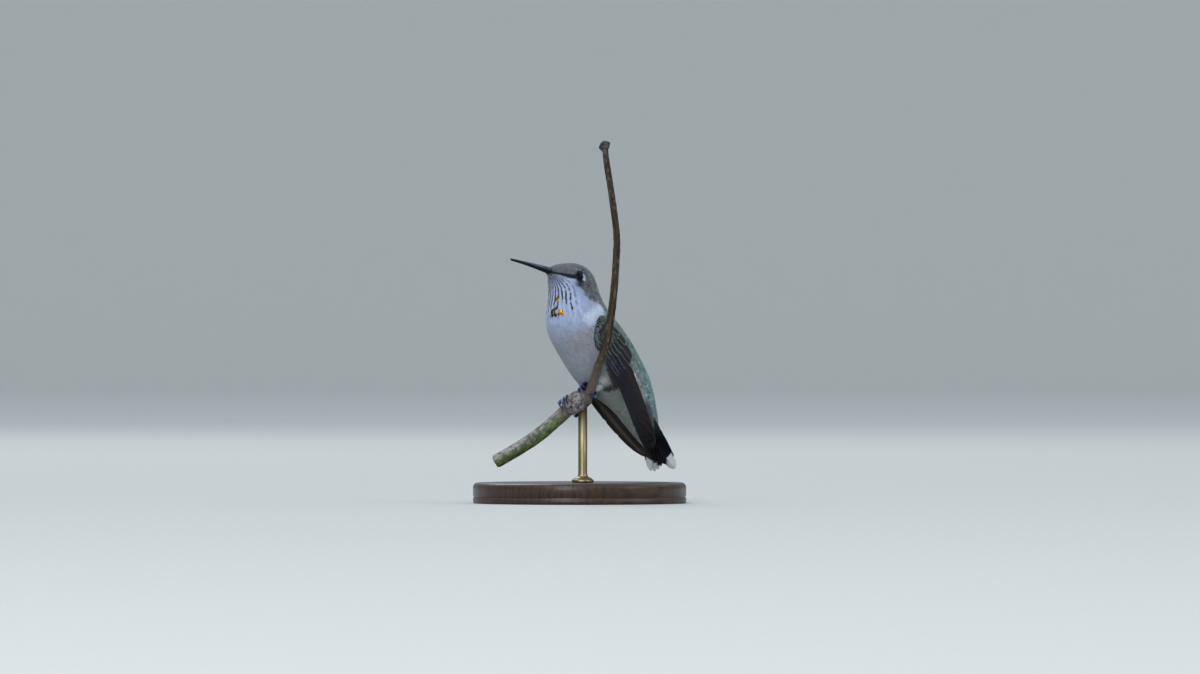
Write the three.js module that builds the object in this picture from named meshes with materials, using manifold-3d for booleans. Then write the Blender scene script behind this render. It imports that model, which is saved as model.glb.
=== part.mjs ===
// An immature ruby-throated hummingbird, life size, gripping a cut length of vine on a display stand.
// Millimetres, +Z up. The bird faces -X and its left side is -Y. The origin is the middle of the
// underside of the stand's base.
import * as THREE from "three";
import { mergeVertices } from "three/addons/utils/BufferGeometryUtils.js";
import Module from "manifold-3d";

const wasm = await Module();
wasm.setup();

// ------------------------------------------------------------------ driving dimensions

const GAP = 0.3; // clear distance between neighbouring solids
const LEFT = -1; // sign of Y on the bird's left side
const RIGHT = 1;

// The bird's own frame has its zero near the knot that it grips, and its plane of symmetry at y = 0.
const KNOT_HEIGHT = 29.5; // middle of the knot above the floor
const BIRD_OFFSET = new THREE.Vector3(-4.2, -4.6, KNOT_HEIGHT);

// Body from the base of the bill to the end of the tail coverts. Each row is one section of the
// plumage: its highest point and lowest point in the plane of symmetry, and half its width.
const BODY_STATIONS = [
  { back: [-10.6, 38.5], belly: [-10.2, 36.9], half: 0.9 }, // feathered base of the bill
  { back: [-9.3, 39.2], belly: [-9.6, 35.9], half: 2.2 },
  { back: [-7.2, 39.8], belly: [-9.1, 34.8], half: 3.7 }, // forehead and chin
  { back: [-4.5, 40.1], belly: [-8.8, 33.5], half: 5.0 },
  { back: [-1.6, 40.1], belly: [-8.7, 32.2], half: 5.8 }, // crown, over the eyes
  { back: [1.3, 39.3], belly: [-8.8, 30.8], half: 6.3 },
  { back: [3.7, 37.3], belly: [-9.1, 29.2], half: 6.6 },
  { back: [5.1, 34.6], belly: [-9.4, 27.3], half: 6.9 }, // nape and throat
  { back: [6.0, 31.6], belly: [-9.6, 24.8], half: 7.7 },
  { back: [7.6, 28.4], belly: [-9.2, 21.6], half: 8.7 }, // shoulders
  { back: [10.2, 25.2], belly: [-7.7, 18.0], half: 9.5 },
  { back: [13.4, 22.0], belly: [-4.6, 13.4], half: 9.8 }, // breast
  { back: [16.8, 18.2], belly: [-1.2, 8.8], half: 9.6 },
  { back: [20.0, 14.0], belly: [2.6, 4.6], half: 8.9 }, // belly
  { back: [22.7, 10.2], belly: [7.2, 1.5], half: 7.8 },
  { back: [24.7, 6.9], belly: [11.2, -0.8], half: 6.8 }, // rump and vent
  { back: [26.2, 3.2], belly: [14.8, -3.3], half: 5.9 },
  { back: [27.3, -0.6], belly: [17.9, -6.4], half: 5.0 }, // tail coverts
  { back: [28.2, -4.3], belly: [20.7, -9.2], half: 4.2 },
  { back: [28.6, -7.8], belly: [23.2, -11.8], half: 3.2 },
  { back: [28.2, -11.4], belly: [25.4, -13.8], half: 1.8 },
];
const BODY_ROWS = 38; // sections of the body's mesh
const BODY_SIDES = 28;
const HEAD_END = 7.2; // station of the cut between head and neck
const NECK_END = 9.4; // between neck and torso
const TORSO_END = 15.2; // between torso and tail

const EYE = new THREE.Vector3(-3.3, 4.25, 36.1); // middle of the left eyeball, with y outwards
const EYE_RADIUS = 1.75;
const EYE_LOOK = new THREE.Vector3(-0.28, 0.95, 0.1); // outwards from the eyeball
const LID_RADIUS = 1.3; // of the opening between the lids
const LID_THICKNESS = 0.34;
const LID_STRETCH = [1.12, 0.94, 1]; // the opening is longer than it is high

const BILL_LENGTH = 15.4; // from the feathered base to the tip
const BILL_BASE = new THREE.Vector3(-9.9, 0, 37.75);
const BILL_RISE = THREE.MathUtils.degToRad(15); // of the bill's axis at its base
const BILL_DROOP = 0.55; // how far the tip falls below that axis
const BILL_ROOT = 1.6; // length hidden in the feathers of the face
const BILL_HALF_WIDTH = 0.95; // at the base
const BILL_HALF_DEPTH = 0.95;
const BILL_TIP_SHARE = 0.27; // of the base's thickness, at the tip
const MOUTH_GAP = 0.2;
const BILL_SOCKET_SHARE = 0.1; // of the bill's length that its socket in the face is cut to
const LOWER_BILL_SHARE = 0.975; // of the upper half's length
const NOSTRIL = { from: 1.3, length: 2.0, height: 0.32, depth: 0.3, rise: 0.38 }; // rise: share of the depth

// Folded wing. Places are in the side view, [x, z], and a share of 0 is the wrist and 1 the tip.
const WRIST = [-0.8, 19.2];
const WING_TIP = [25.0, -15.9];
const WING_SPREAD = [8.6, 9.5, 9.3, 8.0, 6.0, 4.0, 2.4]; // least distance from the plane of symmetry
const WING_CLEARANCE = 0.5; // between the body's side and the innermost feathers
const WING_LEAN = 0.28; // how much the wing's upper side leans in, per mm from its middle line
const WING_BLEND = 0.8; // softness of the bend where the wing leaves the body's side
const ARM = { centre: [2.4, 18.8], size: [3.6, 0.8, 3.2], out: 9.2 }; // under the coverts

// Each pair is a share of a feather's length and the share of its width there.
const LONG_FEATHER = [[0, 0.5], [0.25, 0.85], [0.6, 1], [0.84, 0.84], [0.95, 0.5], [1, 0.14]];
const SHORT_FEATHER = [[0, 0.6], [0.5, 1], [0.84, 0.8], [1, 0.2]];

// Tiers of the wing, the innermost first. The feathers of a tier go from its lowest to its highest:
// their roots and tips lie along curves, and the pairs are for the first and the last of them. A bow
// is how far the middle of a shaft lies below a straight line.
const WING_TIERS = [
  // primaries
  {
    count: 10,
    roots: [[2.4, 13.4], [3.4, 16.6]],
    tips: [[25.0, -15.9], [24.7, -11.6], [21.4, -5.0], [16.8, 1.2], [13.4, 5.6]],
    width: [3.9, 3.5],
    bow: [0.75, 0.1],
    level: 0,
    sections: LONG_FEATHER,
  },
  // secondaries
  {
    count: 6,
    roots: [[1.6, 15.2], [5.4, 19.8]],
    tips: [[7.4, 7.4], [10.0, 8.6], [12.0, 12.0]],
    width: [2.7, 2.9],
    bow: [0.4, -0.1],
    level: 0.25,
    sections: SHORT_FEATHER,
  },
  // coverts of the primaries
  {
    count: 3,
    roots: [[0.2, 16.6], [1.0, 17.6]],
    tips: [[4.6, 9.8], [6.4, 11.6]],
    width: [2.0, 2.2],
    bow: [0.3, 0.1],
    level: 0.4,
    sections: SHORT_FEATHER,
  },
  // greater coverts
  {
    count: 5,
    roots: [[0.8, 17.4], [4.6, 20.8]],
    tips: [[4.6, 12.0], [6.8, 13.6], [9.4, 16.6]],
    width: [2.5, 2.6],
    bow: [0.2, -0.1],
    level: 0.5,
    sections: SHORT_FEATHER,
  },
  // median coverts
  {
    count: 4,
    roots: [[-0.4, 19.0], [2.8, 22.0]],
    tips: [[2.2, 15.2], [4.6, 16.8], [7.0, 19.4]],
    width: [2.3, 2.4],
    bow: [0.1, -0.1],
    level: 0.62,
    sections: SHORT_FEATHER,
  },
  // lesser coverts
  {
    count: 3,
    roots: [[-0.8, 20.6], [1.2, 23.0]],
    tips: [[1.0, 17.8], [3.0, 19.2], [4.6, 21.2]],
    width: [2.3, 2.3],
    bow: [0, 0],
    level: 0.7,
    sections: SHORT_FEATHER,
  },
];
const VANE_THICKNESS = 0.5; // at the shaft
const VANE_EDGE_SHARE = 0.4; // of that, how far the edges lie outwards from the shaft's inner side
const LENGTH_VARIATION = 0.015;
const WIDTH_VARIATION = 0.04;
const TIP_SETTLE = 0.35; // share of a tier's level that is lost at the feathers' tips
const SHINGLE = 0.45; // how much further out a feather's lower edge lies than its upper edge
const LOWER_SHARE = 0.45; // of a feather's width, below its shaft

const TAIL_ROOT = new THREE.Vector3(22.0, 0, 4.5); // where the shafts of the tail meet
const TAIL_TIP = new THREE.Vector3(31.1, 0, -20.6); // end of the longest feathers, were the tail straight
const TAIL_SWING = THREE.MathUtils.degToRad(5); // of the whole tail to the left
const TAIL_HIDDEN_SHARE = 0.25; // of a tail feather's length, not modelled at its root
// Feathers of each half of the tail, from the middle outwards: degrees from the middle, and sizes.
const TAIL_FEATHERS = [
  { turn: 1.2, reach: 0.915, width: 4.6 },
  { turn: 4.2, reach: 0.93, width: 4.5 },
  { turn: 7.3, reach: 0.97, width: 4.4 },
  { turn: 10.4, reach: 0.995, width: 4.3 },
  { turn: 13.5, reach: 0.985, width: 4.0 },
];
const TAIL_STEP = 0.3; // each feather lies this much under the one nearer the middle

const HIP_RADIUS_SHARE = 2.5; // of the tarsus, at the feathered thigh
const TARSUS_RADIUS = 0.55;
const ANKLE_RADIUS = 0.75;
const ANKLE_LIFT = 0.35; // of the ankle's middle above the toes' line
const TOE_RADIUS = 0.5;
const KNUCKLE_SWELL = 0.1;
const CLAW_LENGTH_SHARE = 0.26;
const CLAW_LIFT = 0.12;
const CLAW_RADIUS_SHARE = 0.8; // of a toe's, at the claw's root
const CLAW_TIP_SHARE = 0.12;
// Toes of a foot: place along the perch, degrees round it from the ankle, and relative thickness.
const TOES = [
  { spread: -1.15, turn: 180, size: 0.95 },
  { spread: 0, turn: 195, size: 1.05 },
  { spread: 1.15, turn: 175, size: 0.9 },
  { spread: 0.1, turn: -125, size: 1 },
];
// Where each foot grips: a point of the perch's middle line, the line's direction and its radius.
const GRIPS = {
  [LEFT]: {
    at: [0.6, -4.1, 3.1],
    along: [0.15, -0.6, 0.78],
    ankle: [0.9, 0.3, 0.0],
    over: [-0.7, 0.5, 0.5],
    radius: 1.75,
    hip: [6.2, -3.8, 6.2],
  },
  [RIGHT]: {
    at: [-2.5, 0.8, -1.6],
    along: [0.4, -0.72, 0.56],
    ankle: [0.9, 0.0, 0.45],
    over: [0, 0, 1],
    radius: 2.4,
    hip: [8.0, 3.4, 4.6],
  },
};

// The perch: a knot where a stem turns up into a shoot. Points are middle lines in the bird's frame.
const KNOT = new THREE.Vector3(-1.2, -1.5, 0);
const KNOT_RADIUS = 3.3;
// Swellings of the knot: the place of each from its middle, and its share of the radius.
const KNOT_SWELLINGS = [
  { shift: [0, 0, 0], size: 1 },
  { shift: [1.0, -1.4, 0.9], size: 0.8 },
  { shift: [-1.1, 1.2, -1.1], size: 0.85 },
  { shift: [0.6, 0.9, -1.2], size: 0.72 },
  { shift: [-1.2, -0.6, 0.7], size: 0.7 },
];
const STEM_POINTS = [
  [-2.7, 0.9, -1.9],
  [-4.4, 3.2, -4.5],
  [-7.2, 8.5, -9.2],
  [-10.5, 13.8, -13.3],
  [-14.5, 20.2, -17.4],
];
const STEM_RADIUS = 2.0;
const SHOOT_POINTS = [
  [0.9, -4.5, 2.9],
  [0.7, -6.7, 6.4],
  [0.2, -9.1, 9.9],
  [-0.1, -11.8, 13.6],
  [-0.1, -13.7, 17.4],
  [0.2, -14.5, 21.4],
  [1.1, -15.1, 29.6],
  [2.0, -15.4, 40.6],
  [2.2, -15.4, 48.0],
  [1.8, -14.0, 58.0],
  [1.4, -12.0, 68.0],
  [1.4, -10.8, 74.0],
];
const SHOOT_RADIUS_LOW = 1.45;
const SHOOT_RADIUS_HIGH = 0.9;
const SHOOT_END_RADIUS = 1.7; // swollen top of the shoot

const BASE_RADIUS = 31;
const BASE_HEIGHT = 6;
const BASE_ROUNDING = 1.4;
const ROD_RADIUS = 1.3;
const ROD_COLLAR = { radius: 3.2, height: 1.6 };
const ROD_SHIFT = [1.0, -1.0]; // of the rod from the middle of the knot, clear of the toes
const ROD_TOP = -1.5; // in the bird's frame, before the rod is cut off under the knot

// ------------------------------------------------------------------ solids

// A closed mesh as a solid that can be joined and cut.
function solid(geometry) {
  const bare = geometry.index ? geometry.toNonIndexed() : geometry;
  bare.deleteAttribute("normal");
  bare.deleteAttribute("uv");
  const merged = mergeVertices(bare, 1e-4);
  return new wasm.Manifold(
    new wasm.Mesh({
      numProp: 3,
      vertProperties: merged.attributes.position.array,
      triVerts: new Uint32Array(merged.index.array),
    }),
  );
}

// The largest body of a solid, without the scraps that a cut can leave.
function largest(made) {
  const bodies = made.decompose();
  return bodies.reduce((best, body) => (body.volume() > best.volume() ? body : best));
}

function geometryOf(made) {
  const mesh = made.getMesh();
  const geometry = new THREE.BufferGeometry();
  geometry.setAttribute("position", new THREE.BufferAttribute(new Float32Array(mesh.vertProperties), 3));
  geometry.setIndex(new THREE.BufferAttribute(new Uint32Array(mesh.triVerts), 1));
  geometry.computeVertexNormals();
  return geometry;
}

function joined(solids) {
  return solids.reduce((whole, piece) => whole.add(piece));
}

// Triangles that close a ring of points, as a ladder between its two sides.
function ladder(count) {
  const faces = [];
  let [low, high] = [0, count - 1];
  while (high - low > 1) {
    faces.push([low, low + 1, high]);
    low += 1;
    if (high - low < 2) break;
    faces.push([low, high - 1, high]);
    high -= 1;
  }
  return faces;
}

// A closed skin over a row of rings with equally many points. The two halves of a ring are split into
// triangles alike, so that the faces of a thin, curved blade don't cross.
function loft(rings) {
  const sides = rings[0].length;
  const faces = [];
  for (let row = 0; row + 1 < rings.length; row++) {
    for (let i = 0; i < sides; i++) {
      const a = row * sides + i;
      const b = row * sides + ((i + 1) % sides);
      if (2 * i + 1 < sides) faces.push(a, b, b + sides, a, b + sides, a + sides);
      else faces.push(a, b, a + sides, b, b + sides, a + sides);
    }
  }
  const last = (rings.length - 1) * sides;
  for (const [a, b, c] of ladder(sides)) faces.push(c, b, a, last + a, last + b, last + c);
  const made = solid(new THREE.BufferGeometry().setFromPoints(rings.flat()).setIndex(faces));
  return made.volume() < 0 ? loft(rings.map((ring) => [...ring].reverse())) : made;
}

function curve(points) {
  return new THREE.CatmullRomCurve3(points.map((p) => new THREE.Vector3(...p)), false, "catmullrom");
}

// A round rod along a curve, whose radius is a function of the share of its length.
function rod(path, radiusAt, rows, sides, squash = 1) {
  const frames = path.computeFrenetFrames(rows, false);
  const rings = [];
  for (let row = 0; row <= rows; row++) {
    const share = row / rows;
    const centre = path.getPointAt(share);
    rings.push(
      Array.from({ length: sides }, (_, i) => {
        const angle = (2 * Math.PI * i) / sides;
        return centre
          .clone()
          .addScaledVector(frames.normals[row], radiusAt(share) * Math.cos(angle))
          .addScaledVector(frames.binormals[row], radiusAt(share) * squash * Math.sin(angle));
      }),
    );
  }
  return loft(rings);
}

function ball(centre, radius, stretch = [1, 1, 1], segments = 16) {
  const geometry = new THREE.SphereGeometry(radius, segments, Math.round(segments * 0.7));
  geometry.scale(...stretch).translate(centre.x, centre.y, centre.z);
  return solid(geometry);
}

const mirrored = (v, side) => new THREE.Vector3(v.x, side * v.y, v.z);

// ------------------------------------------------------------------ body

const stationShare = (station) => station / (BODY_STATIONS.length - 1);
const backLine = curve(BODY_STATIONS.map(({ back }) => [back[0], 0, back[1]]));
const bellyLine = curve(BODY_STATIONS.map(({ belly }) => [belly[0], 0, belly[1]]));
const widthLine = curve(BODY_STATIONS.map(({ half }, i) => [i, half, 0]));

// One section of the body: its middle, the way from belly to back, and its half sizes.
function section(station) {
  const share = stationShare(station);
  const back = backLine.getPoint(share);
  const belly = bellyLine.getPoint(share);
  const up = back.clone().sub(belly);
  return {
    centre: back.clone().add(belly).multiplyScalar(0.5),
    depth: up.length() / 2,
    up: up.normalize(),
    half: widthLine.getPoint(share).y,
  };
}

function bodyRing(station, grow) {
  const { centre, up, depth, half } = section(station);
  return Array.from({ length: BODY_SIDES }, (_, i) => {
    const angle = (2 * Math.PI * i) / BODY_SIDES;
    const point = centre.clone().addScaledVector(up, (depth + grow) * Math.cos(angle));
    point.y += (half + grow) * Math.sin(angle);
    return point;
  });
}

function bodySolid(grow = 0) {
  const last = BODY_STATIONS.length - 1;
  return loft(Array.from({ length: BODY_ROWS + 1 }, (_, row) => bodyRing((last * row) / BODY_ROWS, grow)));
}

// Half the body's width at a place of its side view, or 0 outside it.
function bodyHalfWidth(x, z) {
  let low = 0;
  let high = BODY_STATIONS.length - 1;
  for (let step = 0; step < 30; step++) {
    const middle = (low + high) / 2;
    const { centre, up } = section(middle);
    const behind = (x - centre.x) * up.z - (z - centre.z) * up.x;
    if (behind > 0) low = middle;
    else high = middle;
  }
  const { centre, up, depth, half } = section(low);
  const along = ((x - centre.x) * up.x + (z - centre.z) * up.z) / depth;
  return Math.abs(along) < 1 ? half * Math.sqrt(1 - along * along) : 0;
}

// Everything beyond a section, as a large block, moved back by half the gap.
function beyond(station, sign) {
  const size = 200;
  const { centre, up } = section(station);
  const along = new THREE.Vector3(up.z, 0, -up.x).multiplyScalar(sign);
  const block = new THREE.BoxGeometry(size, size, size);
  const side = new THREE.Vector3(0, 1, 0);
  block.applyMatrix4(new THREE.Matrix4().makeBasis(along, side, along.clone().cross(side)));
  const place = centre.clone().addScaledVector(along, size / 2 - GAP / 2);
  block.translate(place.x, place.y, place.z);
  return solid(block);
}

const TAILWARDS = 1;
const HEADWARDS = -1;

function bodyPiece(whole, from, to) {
  let piece = whole;
  if (from !== null) piece = piece.subtract(beyond(from, HEADWARDS));
  if (to !== null) piece = piece.subtract(beyond(to, TAILWARDS));
  return piece;
}

// ------------------------------------------------------------------ head

function eyeball(side, grow = 0) {
  return ball(mirrored(EYE, side), EYE_RADIUS + grow, [1, 1, 1], 16);
}

// The rim of both lids, a low ring in the skin round the eye's opening.
function lids(side) {
  const look = mirrored(EYE_LOOK, side).normalize();
  const ring = new THREE.TorusGeometry(LID_RADIUS, LID_THICKNESS, 5, 16);
  ring.scale(...LID_STRETCH);
  ring.applyQuaternion(new THREE.Quaternion().setFromUnitVectors(new THREE.Vector3(0, 0, 1), look));
  const sink = Math.sqrt((EYE_RADIUS + GAP) ** 2 - LID_RADIUS ** 2);
  const place = mirrored(EYE, side).addScaledVector(look, sink);
  return solid(ring.translate(place.x, place.y, place.z));
}

function headSolid(whole, bill) {
  let head = bodyPiece(whole, null, HEAD_END);
  for (const side of [LEFT, RIGHT]) head = head.add(lids(side)).subtract(eyeball(side, GAP));
  return largest(head.subtract(bill));
}

// A place along the bill, from 0 at the feathered base to 1 at the tip.
function billAxis(share) {
  const run = share * BILL_LENGTH;
  const fall = BILL_DROOP * Math.max(0, share) ** 2.4;
  return new THREE.Vector3(
    BILL_BASE.x - run * Math.cos(BILL_RISE) - fall * Math.sin(BILL_RISE),
    0,
    BILL_BASE.z + run * Math.sin(BILL_RISE) - fall * Math.cos(BILL_RISE),
  );
}

// Half sizes of the bill relative to its base: it narrows fast at first, then slowly.
function billTaper(share) {
  return BILL_TIP_SHARE + (1 - BILL_TIP_SHARE) * (1 - Math.min(1, Math.max(0, share))) ** 1.35;
}

// Upper half (sign 1) or lower half (sign -1) of the bill, flat where the two meet.
function mandible(sign, endShare, grow = 0) {
  const rows = 12;
  const sides = 7;
  const start = -BILL_ROOT / BILL_LENGTH;
  const rings = [];
  for (let row = 0; row <= rows; row++) {
    const share = start + ((endShare - start) * row) / rows;
    const taper = billTaper(share) * (row === rows ? 0.5 : 1);
    const upward = new THREE.Vector3(Math.sin(BILL_RISE), 0, Math.cos(BILL_RISE)).multiplyScalar(sign);
    const middle = billAxis(share).addScaledVector(upward, grow ? -grow : MOUTH_GAP / 2);
    const height = BILL_HALF_DEPTH * taper - MOUTH_GAP / 2 + (grow ? 2 * grow : 0);
    rings.push(
      Array.from({ length: sides }, (_, i) => {
        const angle = (Math.PI * i) / (sides - 1);
        const point = middle.clone().addScaledVector(upward, height * Math.sin(angle));
        point.y += (BILL_HALF_WIDTH * taper + grow) * Math.cos(angle);
        return point;
      }),
    );
  }
  return loft(rings);
}

// A slit in each side of the upper half of the bill.
function nostrils() {
  const from = NOSTRIL.from / BILL_LENGTH;
  const to = (NOSTRIL.from + NOSTRIL.length) / BILL_LENGTH;
  const middle = billAxis((from + to) / 2);
  const taper = billTaper((from + to) / 2);
  return [LEFT, RIGHT].map((side) => {
    const place = middle.clone();
    place.y = side * BILL_HALF_WIDTH * taper;
    place.z += BILL_HALF_DEPTH * taper * NOSTRIL.rise;
    const slit = new THREE.SphereGeometry(0.5, 10, 8);
    slit.scale(NOSTRIL.length, NOSTRIL.depth * 2, NOSTRIL.height);
    slit.rotateY(BILL_RISE);
    return solid(slit.translate(place.x, place.y, place.z));
  });
}

// ------------------------------------------------------------------ feathers

// One feather: a thin blade with a ridge along its shaft. place(share, across) is a point of its inner
// face, across going from -1 at the lower edge to 1 at the upper, and outward is the way it faces.
function feather(sections, place, outward) {
  return loft(
    sections.map(([share, width]) => {
      const thickness = VANE_THICKNESS * (share === 1 ? 0.5 : 1);
      const shift = thickness * VANE_EDGE_SHARE;
      const edge = (across) => place(share, across * width).addScaledVector(outward, shift);
      const shaft = place(share, 0);
      return [edge(-1), shaft.clone().addScaledVector(outward, thickness), edge(1), shaft];
    }),
  );
}

// A repeatable number from -1 to 1 for each whole number.
function vary(seed) {
  const wave = Math.sin(seed * 127.1 + 11.7) * 43758.5453;
  return 2 * (wave - Math.floor(wave)) - 1;
}

// ------------------------------------------------------------------ wings

const spreadLine = curve(WING_SPREAD.map((y, i) => [i, y, 0]));
const sideView = (places) => curve(places.map(([x, z]) => [x, 0, z]));

// Distance of the wing's inner face from the plane of symmetry: clear of the body's side.
function wingDistance(x, z) {
  const along = [WING_TIP[0] - WRIST[0], WING_TIP[1] - WRIST[1]];
  const length = Math.hypot(...along);
  const share = ((x - WRIST[0]) * along[0] + (z - WRIST[1]) * along[1]) / length ** 2;
  const above = ((z - WRIST[1]) * along[0] - (x - WRIST[0]) * along[1]) / length;
  const free = spreadLine.getPoint(THREE.MathUtils.clamp(share, 0, 1)).y - WING_LEAN * above;
  const held = bodyHalfWidth(x, z) + WING_CLEARANCE;
  return (free + held + Math.hypot(free - held, WING_BLEND)) / 2;
}

// One feather of a tier. Feathers of a higher tier lie further out, less so towards their tips.
function wingFeather(side, tier, index, seed) {
  const order = index / (tier.count - 1);
  const between = ([first, last]) => THREE.MathUtils.lerp(first, last, order);
  const root = sideView(tier.roots).getPoint(order);
  const tip = sideView(tier.tips).getPoint(order);
  const shaft = tip.clone().sub(root);
  tip.addScaledVector(shaft, LENGTH_VARIATION * vary(seed));
  const up = new THREE.Vector3(-shaft.z, 0, shaft.x).normalize();
  const bow = between(tier.bow) * (1 + 2 * WIDTH_VARIATION * vary(seed + 0.5));
  const width = between(tier.width) * (1 + WIDTH_VARIATION * vary(seed + 0.25));
  const place = (share, across) => {
    const reach = across < 0 ? width * LOWER_SHARE : width * (1 - LOWER_SHARE);
    const point = root.clone().lerp(tip, share);
    point.addScaledVector(up, across * reach - 4 * bow * share * (1 - share));
    const tilt = (SHINGLE * (1 - across)) / 2;
    const level = tier.level * (1 - TIP_SETTLE * share);
    point.y = side * (wingDistance(point.x, point.z) + level + tilt);
    return point;
  };
  return feather(tier.sections, place, new THREE.Vector3(0, side, 0));
}

function wingSolid(side, body) {
  const arm = new THREE.SphereGeometry(1, 10, 7).scale(...ARM.size);
  const pieces = [solid(arm.translate(ARM.centre[0], side * ARM.out, ARM.centre[1]))];
  for (const tier of WING_TIERS) {
    for (let index = 0; index < tier.count; index++) {
      pieces.push(wingFeather(side, tier, index, pieces.length));
    }
  }
  return largest(joined(pieces).subtract(body));
}

// ------------------------------------------------------------------ tail

function tailFeather(side, index) {
  const { turn, reach, width } = TAIL_FEATHERS[index];
  const along = TAIL_TIP.clone().sub(TAIL_ROOT);
  const length = along.length() * (reach + (LENGTH_VARIATION / 2) * vary(60 + 2 * index + side));
  along.normalize();
  const up = new THREE.Vector3(-along.z, 0, along.x);
  const angle = side * THREE.MathUtils.degToRad(turn) - TAIL_SWING;
  const sideways = new THREE.Vector3(0, 1, 0);
  const way = along.clone().multiplyScalar(Math.cos(angle)).addScaledVector(sideways, Math.sin(angle));
  const out = way.clone().cross(up).multiplyScalar(-side);
  const place = (share, across) => {
    const run = length * THREE.MathUtils.lerp(TAIL_HIDDEN_SHARE, 1, share);
    return TAIL_ROOT.clone()
      .addScaledVector(way, run)
      .addScaledVector(out, (across * width) / 2)
      .addScaledVector(up, (SHINGLE * across) / 2 - TAIL_STEP * index);
  };
  return feather(LONG_FEATHER, place, up);
}

function tailSolid(whole) {
  const half = (side) => TAIL_FEATHERS.map((_, index) => tailFeather(side, index));
  const feathers = [...half(LEFT), ...half(RIGHT)];
  const core = bodyPiece(whole, TORSO_END, null);
  return largest(joined([core, ...feathers]).subtract(beyond(TORSO_END, HEADWARDS)));
}

// ------------------------------------------------------------------ legs and feet

// Directions round a grip: outwards to the ankle, and forwards over the top of the perch.
function gripFrame(side) {
  const grip = GRIPS[side];
  const axis = new THREE.Vector3(...grip.along).normalize();
  const ankle = new THREE.Vector3(...grip.ankle);
  ankle.addScaledVector(axis, -ankle.dot(axis)).normalize();
  const over = ankle.clone().cross(axis);
  if (over.dot(new THREE.Vector3(...grip.over)) < 0) over.negate();
  return { centre: new THREE.Vector3(...grip.at), axis, ankle, over, radius: grip.radius };
}

// One toe round the perch from the ankle, with its claw.
function toe(side, { spread, turn, size }) {
  const { centre, axis, ankle, over, radius } = gripFrame(side);
  const away = radius + GAP + TOE_RADIUS;
  const steps = 9;
  const points = Array.from({ length: steps + 1 }, (_, step) => {
    const share = step / steps;
    const angle = THREE.MathUtils.degToRad(turn * share);
    const reach = away + (share > 1 - CLAW_LENGTH_SHARE ? CLAW_LIFT : 0);
    return centre
      .clone()
      .addScaledVector(ankle, reach * Math.cos(angle))
      .addScaledVector(over, reach * Math.sin(angle))
      .addScaledVector(axis, spread * Math.min(1, share * 2.2));
  });
  const thickness = (share) => {
    const knuckle = 1 + KNUCKLE_SWELL * Math.cos(share * 6 * Math.PI);
    const claw = (share - 1 + CLAW_LENGTH_SHARE) / CLAW_LENGTH_SHARE;
    const pointed = CLAW_RADIUS_SHARE * (1 - claw) + CLAW_TIP_SHARE;
    return TOE_RADIUS * size * (claw < 0 ? knuckle : pointed);
  };
  return rod(new THREE.CatmullRomCurve3(points), thickness, 10, 6);
}

function anklePoint(side) {
  const { centre, ankle, radius } = gripFrame(side);
  return centre.clone().addScaledVector(ankle, radius + GAP + TOE_RADIUS + ANKLE_LIFT);
}

function footSolid(side, perch) {
  const toes = TOES.map((form) => toe(side, form));
  const pad = ball(anklePoint(side), ANKLE_RADIUS, [1, 1, 1], 8);
  return largest(joined([...toes, pad]).subtract(perch));
}

// The feathered thigh and the bare tarsus. Its upper end is sunk in a socket of the torso.
function legSolid(side, grow = 0) {
  const hip = new THREE.Vector3(...GRIPS[side].hip);
  const ankle = anklePoint(side);
  const way = ankle.clone().sub(hip).normalize();
  const end = ankle.clone().addScaledVector(way, grow - ANKLE_RADIUS - GAP);
  const path = new THREE.LineCurve3(hip.addScaledVector(way, -grow), end);
  const thigh = HIP_RADIUS_SHARE - 1;
  return rod(path, (share) => TARSUS_RADIUS * (1 + thigh * (1 - share) ** 1.5) + grow, 7, 10);
}

// ------------------------------------------------------------------ perch

const stemPath = curve(STEM_POINTS);
const shootPath = curve(SHOOT_POINTS);

function knotSolid(grow = 0) {
  return joined(
    KNOT_SWELLINGS.map(({ shift, size }) => {
      const place = KNOT.clone().add(new THREE.Vector3(...shift));
      return ball(place, KNOT_RADIUS * size + grow, [1, 1, 0.95], 10);
    }),
  );
}

function stemSolid(grow = 0) {
  return rod(stemPath, () => STEM_RADIUS + grow, 10, 10);
}

function shootSolid(grow = 0) {
  const taper = (share) => THREE.MathUtils.lerp(SHOOT_RADIUS_LOW, SHOOT_RADIUS_HIGH, Math.sqrt(share));
  const end = ball(shootPath.getPoint(1), SHOOT_END_RADIUS + grow, [1, 0.9, 1.1], 10);
  return rod(shootPath, (share) => taper(share) + grow, 24, 8).add(end);
}

// ------------------------------------------------------------------ stand

function baseSolid() {
  const shoulder = BASE_HEIGHT - BASE_ROUNDING;
  const outline = new THREE.Path();
  outline.moveTo(0, 0);
  outline.lineTo(BASE_RADIUS, 0);
  outline.lineTo(BASE_RADIUS, shoulder);
  outline.absarc(BASE_RADIUS - BASE_ROUNDING, shoulder, BASE_ROUNDING, 0, Math.PI / 2, false);
  outline.lineTo(0, BASE_HEIGHT);
  return solid(new THREE.LatheGeometry(outline.getPoints(2), 36).rotateX(Math.PI / 2));
}

// The rod with its collar, from its foot on the base to a height inside the knot's hollow.
function rodSolid(foot, top, knot) {
  const { radius, height } = ROD_COLLAR;
  const outline = new THREE.Path();
  outline.moveTo(0, 0);
  outline.lineTo(radius, 0);
  outline.lineTo(radius, height * 0.6);
  outline.lineTo(radius * 0.8, height);
  outline.lineTo(ROD_RADIUS, height);
  outline.lineTo(ROD_RADIUS, top - foot.z);
  outline.lineTo(0, top - foot.z);
  const lathe = new THREE.LatheGeometry(outline.getPoints(), 16).rotateX(Math.PI / 2);
  return largest(solid(lathe.translate(foot.x, foot.y, foot.z)).subtract(knot));
}

// ------------------------------------------------------------------ the object

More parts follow.
